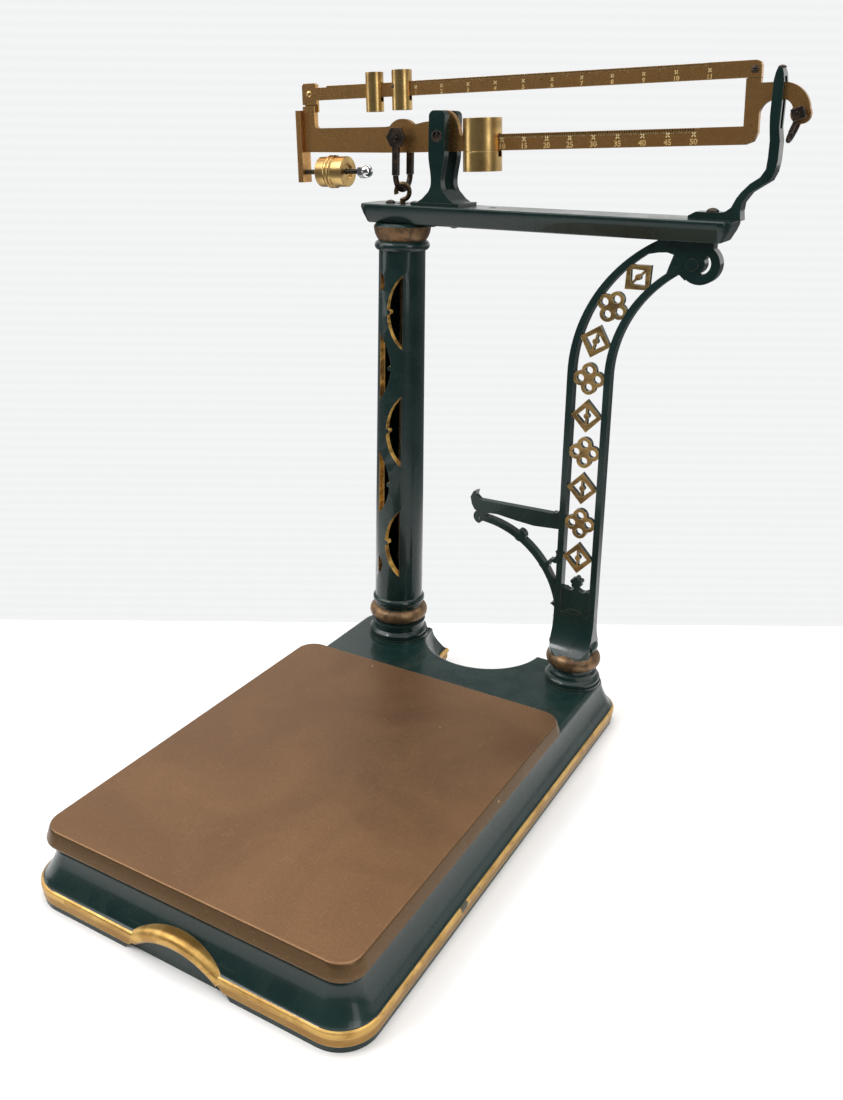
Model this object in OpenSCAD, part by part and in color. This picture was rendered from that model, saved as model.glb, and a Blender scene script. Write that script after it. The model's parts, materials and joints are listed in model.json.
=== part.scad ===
// Counter scale with a platform, a pierced column, a pierced bracket and a double beam.
// The platform's inner edge faces -Y, the beam runs along X, and the floor is Z = 0.

/* [Base] */
// Width of the base at its gilt band
base_w = 290; // [280:1:300]
// Depth of the base at its gilt band
base_d = 480; // [470:1:490]
// Height of the rear deck above the floor
deck_h = 43; // [42:0.5:46]
// Thickness of the deck
deck_t = 5; // [4:0.5:6]
// Distance of the round cut-out from the base's sides
cutout_side = 82; // [79:1:87]
// X of the middle of the base
mid_x = -30; // [-32:1:-28]

/* [Platform] */
// Distance of the platform's sides inside the base's gilt band
plate_side = 12; // [11:0.5:15]
// Depth of the base that the platform leaves free, in front and behind
plate_free = 144; // [142:1:150]
// Height of the platform's top above the floor
plate_h = 59.6; // [59:0.2:61]
// Height of the platform's underside above the floor
plate_under = 46.5; // [46:0.25:47]

/* [Posts and shelf] */
// Distance of the post line from the rear of the base
post_back = 38; // [36:1:40]
// Distance of the column axis from the left side of the base
column_side = 59; // [57:0.5:60]
// Distance of the bracket's foot from the right side of the base
bracket_side = 39; // [38:0.5:41]
// Height of the shelf's underside
shelf_under = 460.5; // [455:0.5:470]
// Thickness of the shelf
shelf_t = 17.3; // [15:0.1:19]
// Radius of the column's shaft at its foot
shaft_r = 24.1; // [23:0.1:25]
// Radius of the column's shaft at its head
head_r = 21.8; // [21:0.1:22.5]
// Radius of the hollow inside the column
hollow_r = 17; // [16:0.5:18]

/* [Beam] */
// Tilt of the beam as it rests, nose up, in degrees
beam_tilt = 2.2; // [2:0.1:2.4]
// Height of the fulcrum above the shelf's top
fulcrum_rise = 60.2; // [59:0.2:62]
// Distance from the fulcrum to the load pivot
load_arm = 43; // [42:0.5:44]
// Distance from the fulcrum to the nose pivot
nose_arm = 300; // [298:1:302]
// Thickness of the beam
beam_t = 6; // [5.5:0.25:6]
// Pitch of the notches on the lower bar
notch_pitch = 2.06; // [2:0.02:2.1]
// Number of notches on the lower bar
notch_count = 100; // [60:1:100]

/* [Poises] */
// Radius of the large poise
poise_r = 17.1; // [16:0.1:17.5]
// Radius of the left small poise
tare_r = 8.2; // [7.5:0.1:8.4]
// Radius of the right small poise
fine_r = 9.1; // [8.5:0.1:9.2]
// Radius of the balance weight
balance_r = 14; // [12:0.5:15]

/* [Levers] */
// Arm from a lever's fulcrum to its load pivot
lever_arm = 30; // [28:0.5:32]
// Distance of a lever's fulcrums from the base's sides
lever_side = 37; // [35:0.5:39]
// Half the width of a knife edge across its corners
knife = 3.2; // [3:0.1:3.4]
// Gap between a knife edge and its bearing
knife_gap = 0.1; // [0.08:0.01:0.12]

/* [Hidden] */
$fn = 48;
eps = 0.01;
green = "#22393a";
brass = "#8c6a3c";
bright_brass = "#b08a4a";
bronze = "#7a5a42";
steel = "#3d3530";
chrome = "#c8c8c8";

// Sizes that follow from the base
plate_w = base_w - 2 * plate_side;
plate_d = base_d - plate_free;
post_y = base_d / 2 - post_back;
column_off = base_w / 2 - column_side;
column_foot = base_w / 2 - bracket_side;
lever_x = base_w / 2 - lever_side;

// Outline of the base's wall: reach beyond the corner centres, and height
cutout_r = base_w / 2 - cutout_side;
corner_r = 30;
in_w = base_w / 2 - corner_r;
in_d = base_d / 2 - corner_r;
rim_r = 13;
band_top = 16.5;
cove_low = 17.6;
cove_high = deck_h - 5;
cove = [for (t = [0 : 0.2 : 1]) [17 + 9.4 * pow(1 - t, 1.4), cove_low + (cove_high - cove_low) * t]];
rim = [for (a = [0 : 22.5 : 90]) [rim_r + 4 * cos(a), deck_h - 4 + 4 * sin(a)]];
band = [[28, 4.5], [29, 5.2], [28.9, 10.8], [30, 12], [30, 14.6], [29.2, 16], [28, band_top]];
wall_out = concat([[28, 0]], band, cove, rim);
wall_in = [[23.5, -1], [23.5, 14], [19, 18.5], [11.5, 33], [9, deck_h - deck_t]];
wall_t = 5.5;
cutout_y = base_d / 2 - 9;

// Front arch over the finger recess
arch_r = 62;
arch_z = -38;
arch_bead = 5.5;
arch_half = 37.8;

// Heights and places that the pieces share
column_x = mid_x - column_off;
fulcrum_x = column_x + load_arm;
shelf_top = shelf_under + shelf_t;
fulcrum_z = shelf_top + fulcrum_rise;
trig_x = fulcrum_x + nose_arm - 16.5;
trig_screw_x = trig_x - 42.5;
foot_z = deck_h + 2;
pad_r = 30.5;
load_z = fulcrum_z - load_arm * sin(beam_tilt);
clevis_drop = 46;
hook_z = load_z - clevis_drop;

// Lever pivots: Y of the fulcrum, load and link lines, and their heights
long_y = 45 - base_d / 2;
long_load_y = long_y + lever_arm;
short_back = 150;
short_y = base_d / 2 - short_back;
short_load_y = short_y - lever_arm;
link_y = (long_y + short_y) / 2;
lever_z = 22;
link_x = column_x + 22;
link_top = 31;
link_low = 15;
arm_x = column_x;

// Beam outline, measured from the fulcrum along and across the level beam
bar_low = -13.5;
bar_high = 0.4;
bar_left = -151;
strut_out = nose_arm - 30;
strut_in = strut_out - 11;
upper_low = 35.5;
upper_high = 48;
lap_y = 1;
notch_start = 20;
nose_c = [nose_arm - 15, 10];
nose_ring = [9.5, 21.5];
rod_w = -29.5;
hanger_u = bar_left - 7;
hanger_t = 5.8;
weight_u = -133.5;
weight_l = 29.5;
acorn_u = -90.5;
poise_u = 36.7;
poise_low = -30.7;
poise_high = 14.2;
tare_u = -71.5;
fine_u = -42.8;
small_low = 23.6;
small_high = 57.8;
slot_gap = 0.3;

// Bracket arcs and rails, measured from the middle of the base
rail_l = column_foot - 20.3;
rail_w = 6;
rail_r = column_foot + 13.3;
arc_z = shelf_under - 120.5;
arc_r = 135.2;
arc_x = rail_l + arc_r;
inner_arc_r = 109.7;
inner_arc_x = rail_r + rail_w + inner_arc_r;
rail_d = 9;
flare = 17.5;
pedestal_z = foot_z + 27;
volute_d = 12;
fret_t = 5;

// Places the children in the plane of the posts, with the given thickness
module upright(t, y = 0) {
    translate([0, post_y + y, 0])
        rotate([90, 0, 0])
            linear_extrude(height = t, center = true)
                children();
}

// Places level beam parts at the fulcrum, with the beam's tilt at rest
module tilted() {
    translate([fulcrum_x, post_y, fulcrum_z])
        rotate([0, -beam_tilt, 0])
            children();
}

// Flat beam part of thickness t, whose middle lies at y
module flat(t, y = 0) {
    translate([0, y, 0])
        rotate([90, 0, 0])
            linear_extrude(height = t, center = true)
                children();
}

// Round bar along X, Y or Z between two places
module bar_x(r, from, to) {
    translate([from, 0, 0])
        rotate([0, 90, 0])
            cylinder(r = r, h = to - from);
}

module bar_y(r, from, to) {
    translate([0, to, 0])
        rotate([90, 0, 0])
            cylinder(r = r, h = to - from);
}

// Knife edge along X or Y: a square bar standing on a corner
module knife_x(from, to, k = knife) {
    translate([from, 0, 0])
        rotate([0, 90, 0])
            cylinder(r = k, h = to - from, $fn = 4);
}

module knife_y(from, to, k = knife) {
    translate([0, to, 0])
        rotate([90, 0, 0])
            cylinder(r = k, h = to - from, $fn = 4);
}

// Section of the space round a knife edge whose lower corner bears, or its upper corner with side = -1
module knife_space(side = 1) {
    low = -(knife + knife_gap) * side;
    polygon([[0, low], [4.2, -0.4 * side], [3.3, 3.3 * side], [-3.3, 3.3 * side], [-4.2, -0.4 * side]]);
}

// Solid of a rounded rectangle whose edge follows an outline of [reach, height] points
module edged_slab(half_w, half_d, outline) {
    n = len(outline);
    low = outline[0][1];
    high = outline[n - 1][1];
    quarter = concat([[0, low]], outline, [[0, high]]);
    for (sx = [-1, 1], sy = [-1, 1])
        translate([sx * half_w, sy * half_d, 0])
            rotate_extrude()
                polygon(quarter);
    rotate([90, 0, 0])
        linear_extrude(height = 2 * half_d, center = true)
            polygon(both_sides(outline, half_w));
    rotate([90, 0, 90])
        linear_extrude(height = 2 * half_w, center = true)
            polygon(both_sides(outline, half_d));
}

// Closed outline that repeats an edge on both sides of the middle
function both_sides(outline, half) = let (n = len(outline))
    concat([for (p = outline) [half + p[0], p[1]]],
        [for (i = [n - 1 : -1 : 0]) [-half - outline[i][0], outline[i][1]]]);

// Flared space behind the deck, between the two posts
module rear_space(grow) {
    top = cutout_r + rim_r + grow;
    side = concat([[top - 28.5, -2]], [for (p = wall_out) [top - p[0], p[1]]], [[top - rim_r, deck_h + 1]]);
    translate([0, cutout_y, 0]) {
        rotate_extrude($fn = 96)
            polygon(concat([[0, -2]], side, [[0, deck_h + 1]]));
        translate([0, 20, 0])
            rotate([90, 0, 0])
                linear_extrude(height = 40, center = true)
                    polygon(both_sides(side, 0));
    }
}

// Arc bead over the finger recess, and the space below it
module arch_bead() {
    translate([0, 0, arch_z])
        rotate([-90, 0, 0])
            rotate([0, 0, -90 - arch_half])
                rotate_extrude(angle = 2 * arch_half, $fn = 120)
                    polygon(concat([[arch_r + arch_bead, -base_d / 2 + 13], [arch_r - arch_bead, -base_d / 2 + 13]],
                        [for (a = [180 : 22.5 : 360]) [arch_r + arch_bead * cos(a),
                            -base_d / 2 + arch_bead * (1 + sin(a)) - 0.8]]));
}

module base() {
    color(green)
        translate([mid_x, 0, 0]) {
            difference() {
                edged_slab(in_w, in_d, wall_out);
                rear_space(0);
                difference() {
                    edged_slab(in_w, in_d, wall_in);
                    rear_space(wall_t);
                }
                translate([-in_w - 7, -in_d - 7, deck_h - deck_t - 1])
                    cube([2 * in_w + 14, in_d + 7 + plate_open, deck_t + 2]);
                translate([0, -base_d / 2 + 6, arch_z])
                    rotate([90, 0, 0])
                        cylinder(r = arch_r - 2, h = 8, $fn = 120);
                translate([-column_off, post_y, deck_h - deck_t - 1])
                    cylinder(r = 9, h = deck_t + 2);
                for (x = foot_screw_x)
                    translate([x, post_y, deck_h - deck_t - 1])
                        cylinder(r = 3.1, h = deck_t + 2);
            }
            arch_bead();
            translate([-48, -base_d / 2 + 5.8, 0])
                cube([96, 6, 21.3]);
            for (x = [-column_off, column_foot])
                difference() {
                    translate([x, post_y, deck_h - eps])
                        cylinder(r = pad_r - (x > 0 ? 4 : 0), h = 2 + eps);
                    translate([x, post_y, deck_h - 1])
                        cylinder(r = x > 0 ? 2 : 9, h = 4);
                    for (s = foot_screw_x)
                        translate([s, post_y, deck_h - 1])
                            cylinder(r = 3.1, h = 4);
                }
            for (s = [-1, 1], y = [long_y, short_y])
                translate([s * (in_w + 7) - 18, y - 9, 0])
                    cube([36, 18, 8]);
        }
}

// Rear edge of the platform's opening, feet of the posts and their bolts, from the base's middle
plate_open = base_d / 2 - 142;
foot_screw_x = [-column_off - 20.5, -column_off + 20.5, column_foot - 12, column_foot + 12];

// Bearing block of a lever's fulcrum, standing on the base
module lever_bearing() {
    difference() {
        translate([-6, -7, 0])
            cube([12, 14, lever_z + 1 - 8]);
        translate([-7, 0, lever_z - 8])
            rotate([90, 0, 90])
                linear_extrude(height = 14)
                    polygon([[0, -knife - knife_gap], [5, 1.2], [-5, 1.2]]);
    }
}

module base_bearings() {
    color(steel)
        for (s = [-1, 1], y = [long_y, short_y])
            translate([mid_x + s * (lever_x + 7), y, 8])
                lever_bearing();
}

// Platform plate with a sloped edge, and a rim below it
plate_corner = 16;
plate_out = [[13, plate_under], [19.5, plate_under + 1], [20, plate_under + 3],
    [17.2, plate_h - 1.2], [16, plate_h]];

module platform() {
    mid_y = plate_mid_y;
    color(bronze)
        translate([mid_x, mid_y, 0])
            difference() {
                edged_slab(plate_w / 2 - plate_corner, plate_d / 2 - plate_corner, plate_out);
                for (sx = [-1, 1], sy = [-1, 1])
                    translate([sx * plate_w / 4, sy * plate_d / 4, plate_under - 1])
                        translate([-44 - 10 * sx, -plate_d / 4 + 8, 0])
                            cube([88, plate_d / 2 - 16, 5]);
            }
}

plate_mid_y = -base_d / 2 + 11.6 + plate_d / 2;

// Bearing block under the platform, resting on a load knife edge
module platform_block() {
    top = plate_under - lever_z;
    difference() {
        translate([-6, -8, -1])
            cube([12, 16, top + 1]);
        translate([-7, 0, 0])
            rotate([90, 0, 90])
                linear_extrude(height = 14)
                    polygon([[0, knife + knife_gap], [6, -1.6], [-6, -1.6]]);
    }
}

module platform_bearings() {
    color(steel)
        for (s = [-1, 1], y = [long_load_y, short_load_y])
            translate([mid_x + s * (lever_x + 5), y, lever_z])
                platform_block();
}

// End cheek of a lever, from the fulcrum line to the load line
module lever_cheek(from_y, to_y) {
    translate([-4, min(from_y, to_y) - 7, lever_z - 8])
        cube([8, abs(to_y - from_y) + 14, 16]);
}

module long_lever() {
    cross_y = long_y + lever_arm / 2;
    color(steel) {
        difference() {
            union() {
                for (s = [-1, 1])
                    translate([mid_x + s * (lever_x - 8), 0, 0])
                        lever_cheek(long_y, long_load_y);
                translate([0, cross_y, lever_z])
                    bar_x(7, mid_x - lever_x + 6, mid_x + lever_x - 6);
                translate([arm_x - 4, cross_y, lever_z - 5])
                    cube([8, post_y - cross_y - 10, 13]);
                translate([arm_x - 7, post_y - 14, lever_z - 5])
                    cube([3, 22, 13]);
                translate([arm_x + 4, post_y - 14, lever_z - 5])
                    cube([3, 22, 13]);
                long_brace();
                translate([arm_x + 2, link_y - 6, link_top - 8])
                    cube([6, 12, 12]);
            }
            for (y = [long_y, long_load_y])
                translate([0, y, lever_z])
                    knife_x(mid_x - lever_x - 20, mid_x + lever_x + 20);
            translate([0, link_y, link_top])
                knife_x(arm_x - 1, arm_x + 30);
            translate([0, post_y, lever_z])
                knife_x(arm_x - 10, arm_x + 10);
        }
    }
}

// Diagonal brace from the cross bar to the long arm
module long_brace() {
    from_y = long_y + lever_arm / 2;
    translate([0, 0, lever_z - 4])
        linear_extrude(height = 8)
            polygon([[mid_x + 20, from_y], [mid_x + 30, from_y], [arm_x + 3, link_y - 22],
                [arm_x + 3, link_y - 34]]);
}

module long_lever_pivots() {
    color(steel) {
        for (s = [-1, 1], y = [long_y, long_load_y])
            translate([mid_x + s * (lever_x + 1) - 13, y, lever_z])
                knife_x(0, 26);
        translate([0, link_y, link_top])
            knife_x(arm_x, arm_x + 30);
        translate([0, post_y, lever_z])
            knife_x(arm_x - 7, arm_x + 7);
    }
}

short_arm_x = link_x + 16;
bar_rise = 37.5;

module short_lever() {
    cross_y = short_y - lever_arm / 2;
    color(steel)
        difference() {
            union() {
                for (s = [-1, 1])
                    translate([mid_x + s * (lever_x - 8), 0, 0]) {
                        lever_cheek(short_y, short_load_y);
                        translate([-4, cross_y - 6, lever_z])
                            cube([8, 12, bar_rise - lever_z]);
                    }
                translate([0, cross_y, bar_rise])
                    bar_x(5.5, mid_x - lever_x + 4, mid_x + lever_x - 4);
                translate([short_arm_x, 0, 0])
                    rotate([90, 0, 90])
                        linear_extrude(height = 8, center = true)
                            polygon([[cross_y + 5, bar_rise - 4], [cross_y + 5, bar_rise + 4],
                                [cross_y - 10, bar_rise + 4], [link_y - 7, link_low + 7],
                                [link_y - 7, link_low - 5], [link_y + 20, link_low - 5]]);
            }
            for (y = [short_y, short_load_y])
                translate([0, y, lever_z])
                    knife_x(mid_x - lever_x - 20, mid_x + lever_x + 20);
            translate([0, link_y, link_low])
                knife_x(link_x - 10, short_arm_x + 5);
        }
}

module short_lever_pivots() {
    color(steel) {
        for (s = [-1, 1], y = [short_y, short_load_y])
            translate([mid_x + s * (lever_x + 1) - 13, y, lever_z])
                knife_x(0, 26);
        translate([0, link_y, link_low])
            knife_x(link_x - 8, short_arm_x + 4);
    }
}

// Ring that hangs on the long lever and carries the short lever's nose
module lever_link() {
    half_y = 8;
    color(steel)
        translate([link_x - 2.5, link_y, 0])
            rotate([90, 0, 90])
                linear_extrude(height = 5)
                    difference() {
                        translate([-half_y, link_low - knife - 4])
                            square([2 * half_y, link_top - link_low + 2 * knife + 8]);
                        polygon([[0, link_low - knife - knife_gap], [5, link_low - 0.2], [5, link_top + 0.2],
                            [0, link_top + knife + knife_gap], [-5, link_top + 0.2], [-5, link_low - 0.2]]);
                    }
}

// Half-moon opening with a cusp at the middle of its round side
module moon(flat_x, side, half_h, depth, bud) {
    r = (half_h * half_h + depth * depth) / (2 * depth);
    difference() {
        intersection() {
            translate([flat_x - side * (depth - r), 0])
                circle(r = r, $fn = 96);
            translate([side > 0 ? flat_x - depth - 1 : flat_x, -half_h])
                square([depth + 1, 2 * half_h]);
        }
        if (bud > 0)
            translate([flat_x - side * (depth - 1.2), 0])
                circle(r = bud, $fn = 24);
    }
}

// Heights of the column's openings, from the shelf's underside down
moon_step = (shelf_under - foot_z) / 3.6;
moon_tops = [for (i = [0 : 2]) 81 + i * moon_step];
left_tops = [134.5, 135.5 + moon_step];
small_tops = [53.5, 53.5 + 2.46 * moon_step];

module column() {
    color(green)
        difference() {
            translate([column_x, post_y, 0]) {
                rotate_extrude($fn = 96)
                    polygon([[0, foot_z], [28.5, foot_z], [29.3, foot_z + 1.5], [29.3, foot_z + 4],
                        [28.2, foot_z + 5.5], [26.5, foot_z + 7], [26.5, foot_z + 12], [27.5, foot_z + 14],
                        [24, foot_z + 16], [24, foot_z + 32], [shaft_r, foot_z + 45],
                        [head_r, shelf_under - 26], [head_r, shelf_under - 17], [22.4, shelf_under - 15.6],
                        [24.4, shelf_under - 12.5], [25.8, shelf_under - 9], [26.5, shelf_under - 5],
                        [26.7, shelf_under - 2.6], [25.5, shelf_under - 1.2], [24, shelf_under],
                        [0, shelf_under]]);
                translate([0, 0, foot_z + 23.5])
                    bead(22.2, 7.2, 96);
                translate([0, 0, foot_z + 37.5])
                    bead(21.6, 4.8, 96);
                translate([0, 0, shelf_under - 20.4])
                    bead(21.2, 4.6, 96);
            }
            translate([column_x, post_y, foot_z - 1])
                cylinder(r = hollow_r, h = shelf_under - foot_z - 19);
            translate([column_x, post_y, foot_z])
                cylinder(r = 8, h = shelf_under - foot_z + 1);
            for (h = moon_tops)
                upright(20, -24)
                    translate([column_x, shelf_under - h])
                        moon(12, 1, 35, 15, 2.4);
            for (h = left_tops)
                upright(20, -24)
                    translate([column_x, shelf_under - h])
                        moon(-12, -1, 32, 13.5, 2.2);
            for (h = small_tops)
                upright(20, -24)
                    translate([column_x, shelf_under - h])
                        moon(-12, -1, 9.5, 5.5, 0);
            for (s = [-1, 1])
                translate([column_x + 13 * s, post_y, shelf_under - 13])
                    cylinder(r = 2.6, h = 14);
            for (s = [-1, 1])
                translate([column_x + 20.5 * s, post_y, foot_z - 1])
                    cylinder(r = 3.1, h = 15);
        }
}

// Round bead: a ring of round section
module bead(r, wire, n = 64) {
    rotate_extrude($fn = n)
        translate([r, 0])
            circle(r = wire, $fn = 32);
}

// Part of a flat ring between two angles
module ring_part(r_in, r_out, from, to) {
    n = 24;
    polygon(concat([for (i = [0 : n]) let (a = from + (to - from) * i / n) [r_out * cos(a), r_out * sin(a)]],
        [for (i = [n : -1 : 0]) let (a = from + (to - from) * i / n) [r_in * cos(a), r_in * sin(a)]]));
}

// Rails of the bracket: straight up, then along arcs to the shelf
module rails() {
    translate([rail_l, 80])
        square([rail_w, arc_z - 80]);
    translate([rail_r, 80])
        square([rail_w, arc_z - 80]);
    translate([arc_x, arc_z])
        ring_part(arc_r - rail_w, arc_r, 180, 180 - asin((shelf_under - arc_z) / arc_r));
    translate([inner_arc_x, arc_z])
        ring_part(inner_arc_r, inner_arc_r + rail_w, 180, 121);
}

// Fretwork: lozenges and four-leaved flowers in turn, between the rails
fret_x = (rail_l + rail_w + rail_r) / 2;
fret_half = (rail_r - rail_l - rail_w) / 2;
fret_low = 168;
fret_count = 9;
fret_run = 98;
fret_pitch = (arc_z + fret_run - fret_low) / (fret_count - 1);
fret_arc_x = (arc_x + inner_arc_x) / 2;

module lozenge() {
    difference() {
        polygon([[-fret_half - 0.4, 0], [0, -15], [fret_half + 0.4, 0], [0, 15]]);
        polygon([[-fret_half + 4.6, 0], [0, -8.5], [fret_half - 4.6, 0], [0, 8.5]]);
    }
    circle(r = 2.6);
    square([1.8, 22], center = true);
}

module flower() {
    difference() {
        union() {
            for (a = [0 : 90 : 270])
                rotate(a)
                    translate([7.4, 0])
                        circle(r = 6.8);
            circle(r = 6);
        }
        for (a = [0 : 90 : 270])
            rotate(a)
                translate([7.7, 0])
                    circle(r = 3.4);
    }
}

// Motif number i, along the straight part and then round the arc
module on_rail(i) {
    along = fret_low + i * fret_pitch;
    if (along <= arc_z)
        translate([fret_x, along])
            children();
    else
        translate([fret_arc_x, arc_z])
            rotate(-(along - arc_z) / (fret_arc_x - fret_x) * 180 / PI)
                translate([fret_x - fret_arc_x, 0])
                    children();
}

module fretwork() {
    for (i = [0 : fret_count - 1])
        on_rail(i)
            if (i % 2 == 0)
                lozenge();
            else
                flower();
}

// Leaf spur: a small curled point
module spur(r, turn) {
    rotate(turn)
        difference() {
            circle(r = r);
            translate([r * 0.75, r * 0.55])
                circle(r = r * 0.95);
        }
}

// Arm and brace for hanging weights, left of the bracket: end and height of the arm, foot of the brace
rack_l = column_foot - 107;
rack_z = 193;
brace_z = 100;

module weight_rack() {
    translate([rack_l, rack_z])
        polygon([[0, 2], [4, 0], [24, 1.5], [44, -1], [62, -2.5], [91, -0.5], [91, 13.5], [5, 12.5], [1, 16],
            [2, 21], [-1.5, 20], [-4.5, 14], [-3, 7]]);
    translate([rack_l + 3, brace_z]) {
        ring_part(85, 91, 8, 88);
        rotate(88)
            translate([88.5, 0])
                spur(6.8, 200);
        rotate(60)
            translate([90, 0])
                spur(6, 60);
        rotate(38)
            translate([90, 0])
                spur(5.4, 30);
        rotate(10)
            translate([85, -3])
                spur(7, 150);
    }
    translate([rail_l - 2, rack_z - 29])
        spur(6, 114);
    translate([rail_l - 1.5, rack_z + 16])
        spur(5.2, 100);
}

module bracket() {
    color(green)
        translate([mid_x, 0, 0]) {
            difference() {
                union() {
                    upright(rail_d)
                        rails();
                    pedestal();
                    upright(rail_d - 1.5)
                        foot_web();
                    upright(rail_d + 0.8)
                        translate([fret_x, 101])
                            ring_part(13, 15.5, 32, 148);
                    upright(fret_t, 0.5 - (rail_d - fret_t) / 2)
                        fretwork();
                    upright(7)
                        weight_rack();
                    upright(volute_d)
                        volute();
                    upright(volute_d + 2.5)
                        translate([volute_x - 6, shelf_under - 19])
                            circle(r = 5);
                }
                translate([trig_screw_x - mid_x, post_y, shelf_under - 9])
                    cylinder(r = 2.6, h = 14);
            }
            translate([column_foot, post_y, 0])
                bracket_foot();
        }
}

// Foot of the rails, flared in front and behind down to the round foot
module pedestal() {
    mid = (rail_l + rail_r + rail_w) / 2;
    half = (rail_r + rail_w - rail_l) / 2;
    intersection() {
        translate([mid, post_y, 0])
            rotate([90, 0, 90])
                linear_extrude(height = 2 * half, center = true)
                    polygon(both_sides([for (t = [0 : 0.125 : 1]) [rail_d / 2 + flare * pow(1 - t, 2.6),
                        pedestal_z + 40 * t]], 0));
        translate([mid, post_y, pedestal_z])
            cylinder(r = half + 3, h = 40, $fn = 96);
    }
    intersection() {
        translate([mid, post_y, pedestal_z + 9])
            bead(half - 1, 4.2, 96);
        translate([mid - 30, post_y - 8, pedestal_z])
            cube([60, 16, 20]);
    }
}

module foot_web() {
    difference() {
        translate([rail_l + 1, 90])
            square([rail_r - rail_l + 5, 46]);
        for (x = [fret_x - 6.2, fret_x + 6.2])
            translate([x, 140])
                circle(r = 5.4);
    }
    translate([fret_x, 143]) {
        translate([-1.6, -10])
            square([3.2, 10]);
        for (a = [18 : 72 : 306])
            rotate(a)
                translate([3.4, 0])
                    circle(r = 2.3, $fn = 20);
        circle(r = 2.6, $fn = 20);
    }
}

// Middle of the scroll under the shelf
volute_x = column_foot + 87;

module volute() {
    translate([volute_x, shelf_under - 18.5])
        difference() {
            circle(r = 16.3);
            difference() {
                translate([0, 0.8])
                    circle(r = 9);
                translate([-4.6, 0.2])
                    circle(r = 8.8);
            }
        }
    translate([column_foot, shelf_under])
        polygon([[45, -12.7], [52, 0], [97, 0], [97, -6], [87, -19], [76, -32], [71.5, -28], [60.5, -27.5],
            [63, -19.5], [65.5, -12], [60, -10.5], [53, -11]]);
}

module bracket_foot() {
    difference() {
        union() {
            rotate_extrude($fn = 96)
                polygon([[0, foot_z], [25, foot_z], [25.6, foot_z + 1.5], [25.6, foot_z + 4], [24.4, foot_z + 5.5],
                    [22.5, foot_z + 6.5], [22.5, foot_z + 10], [20, foot_z + 12], [19, foot_z + 30],
                    [0, foot_z + 31]]);
            translate([0, 0, foot_z + 22])
                bead(17.6, 7.8, 96);
        }
        for (s = [-1, 1])
            translate([12 * s, 0, foot_z - 1])
                cylinder(r = 3.1, h = 15);
    }
}

module foot_bolts() {
    color(steel)
        for (x = foot_screw_x)
            translate([mid_x + x, post_y, deck_h - deck_t - 4]) {
                cylinder(r = 5, h = 4, $fn = 6);
                cylinder(r = 3, h = 20);
            }
}

// Shelf with a moulded edge
shelf_l = -column_off - 35.5;
shelf_r = trig_screw_x - mid_x + 19;
shelf_half_d = 23;
shelf_out = [[2.5, shelf_under], [4, shelf_under + 1], [5.5, shelf_under + 4], [8, shelf_under + 8.5],
    [10, shelf_top - 3.5], [10, shelf_top - 1], [9, shelf_top]];

module shelf() {
    color(green)
        difference() {
            translate([mid_x + (shelf_l + shelf_r) / 2, post_y, 0])
                edged_slab((shelf_r - shelf_l) / 2 - 10, shelf_half_d - 10, shelf_out);
            translate([column_x, post_y, shelf_under - 1])
                cylinder(r = 6.5, h = shelf_t + 2);
            for (s = [-1, 1])
                translate([column_x + 13 * s, post_y, shelf_under - 1])
                    cylinder(r = 2.6, h = shelf_t + 2);
            translate([mid_x + 6, post_y, shelf_under - 1])
                cylinder(r = 4, h = shelf_t + 2);
            translate([trig_screw_x, post_y, shelf_under - 1])
                cylinder(r = 2.6, h = shelf_t + 2);
            for (s = [-1, 1])
                translate([fulcrum_x + stand_screw * s, post_y, shelf_under - 1])
                    cylinder(r = 2.6, h = shelf_t + 2);
        }
}

// Screw with a round head above z = 0 and a shank of length l below it
module round_screw(r, head, head_h, l) {
    difference() {
        union() {
            translate([0, 0, -l])
                cylinder(r = r, h = l);
            intersection() {
                cylinder(r = head, h = head_h);
                translate([0, 0, head_h - head * 1.4])
                    sphere(r = head * 1.4);
            }
        }
        translate([-head, -0.5, head_h - 1])
            cube([2 * head, 1, 2]);
    }
}

module shelf_screws() {
    color(steel)
        for (s = [-1, 1])
            translate([column_x + 13 * s, post_y, shelf_top])
                round_screw(2.5, 4.6, 2.8, shelf_t + 11);
}

// Half width of a stand's ear at a height above the shelf
ear_top = fulcrum_rise + 21.6;
ear_waist = 5;
function ear_half(h) = h > 46 ? 8 : h > 21 ? ear_waist + (8 - ear_waist) * (1 - cos(7.2 * (h - 21))) / 2
    : ear_waist + 19 * pow((21 - h) / 21, 2.2);
stand_screw = 11;
foot_half = 24;
ear_y = 12.2;
ear_t = 8;

module ear_outline() {
    steps = [for (h = [2 : 3 : 56]) h];
    n = len(steps);
    difference() {
        union() {
            polygon(concat([for (h = steps) [ear_half(h), h]], [[8, ear_top - 5], [-8, ear_top - 5]],
                [for (i = [n - 1 : -1 : 0]) [-ear_half(steps[i]), steps[i]]]));
            translate([-8, ear_top - 10])
                square([16, 5.5]);
            translate([-3, ear_top - 5])
                square([6, 5]);
            for (s = [-1, 1])
                translate([s * 3, ear_top - 5])
                    circle(r = 5);
        }
        translate([0, fulcrum_rise])
            circle(r = 5);
    }
}

module fulcrum_stand() {
    color(green)
        difference() {
            union() {
                for (s = [-1, 1])
                    translate([fulcrum_x, 0, shelf_top])
                        upright(ear_t, s * ear_y)
                            ear_outline();
                translate([fulcrum_x - foot_half, post_y - 18, shelf_top])
                    cube([2 * foot_half, 36, 3]);
                translate([fulcrum_x, 0, shelf_top])
                    upright(2 * ear_y + ear_t)
                        polygon([[-24, 0], [24, 0], [14, 6], [6, 14], [-6, 14], [-14, 6]]);
            }
            for (s = [-1, 1])
                translate([fulcrum_x + stand_screw * s, post_y, shelf_top - 1])
                    cylinder(r = 2.6, h = 7);
        }
}

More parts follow.
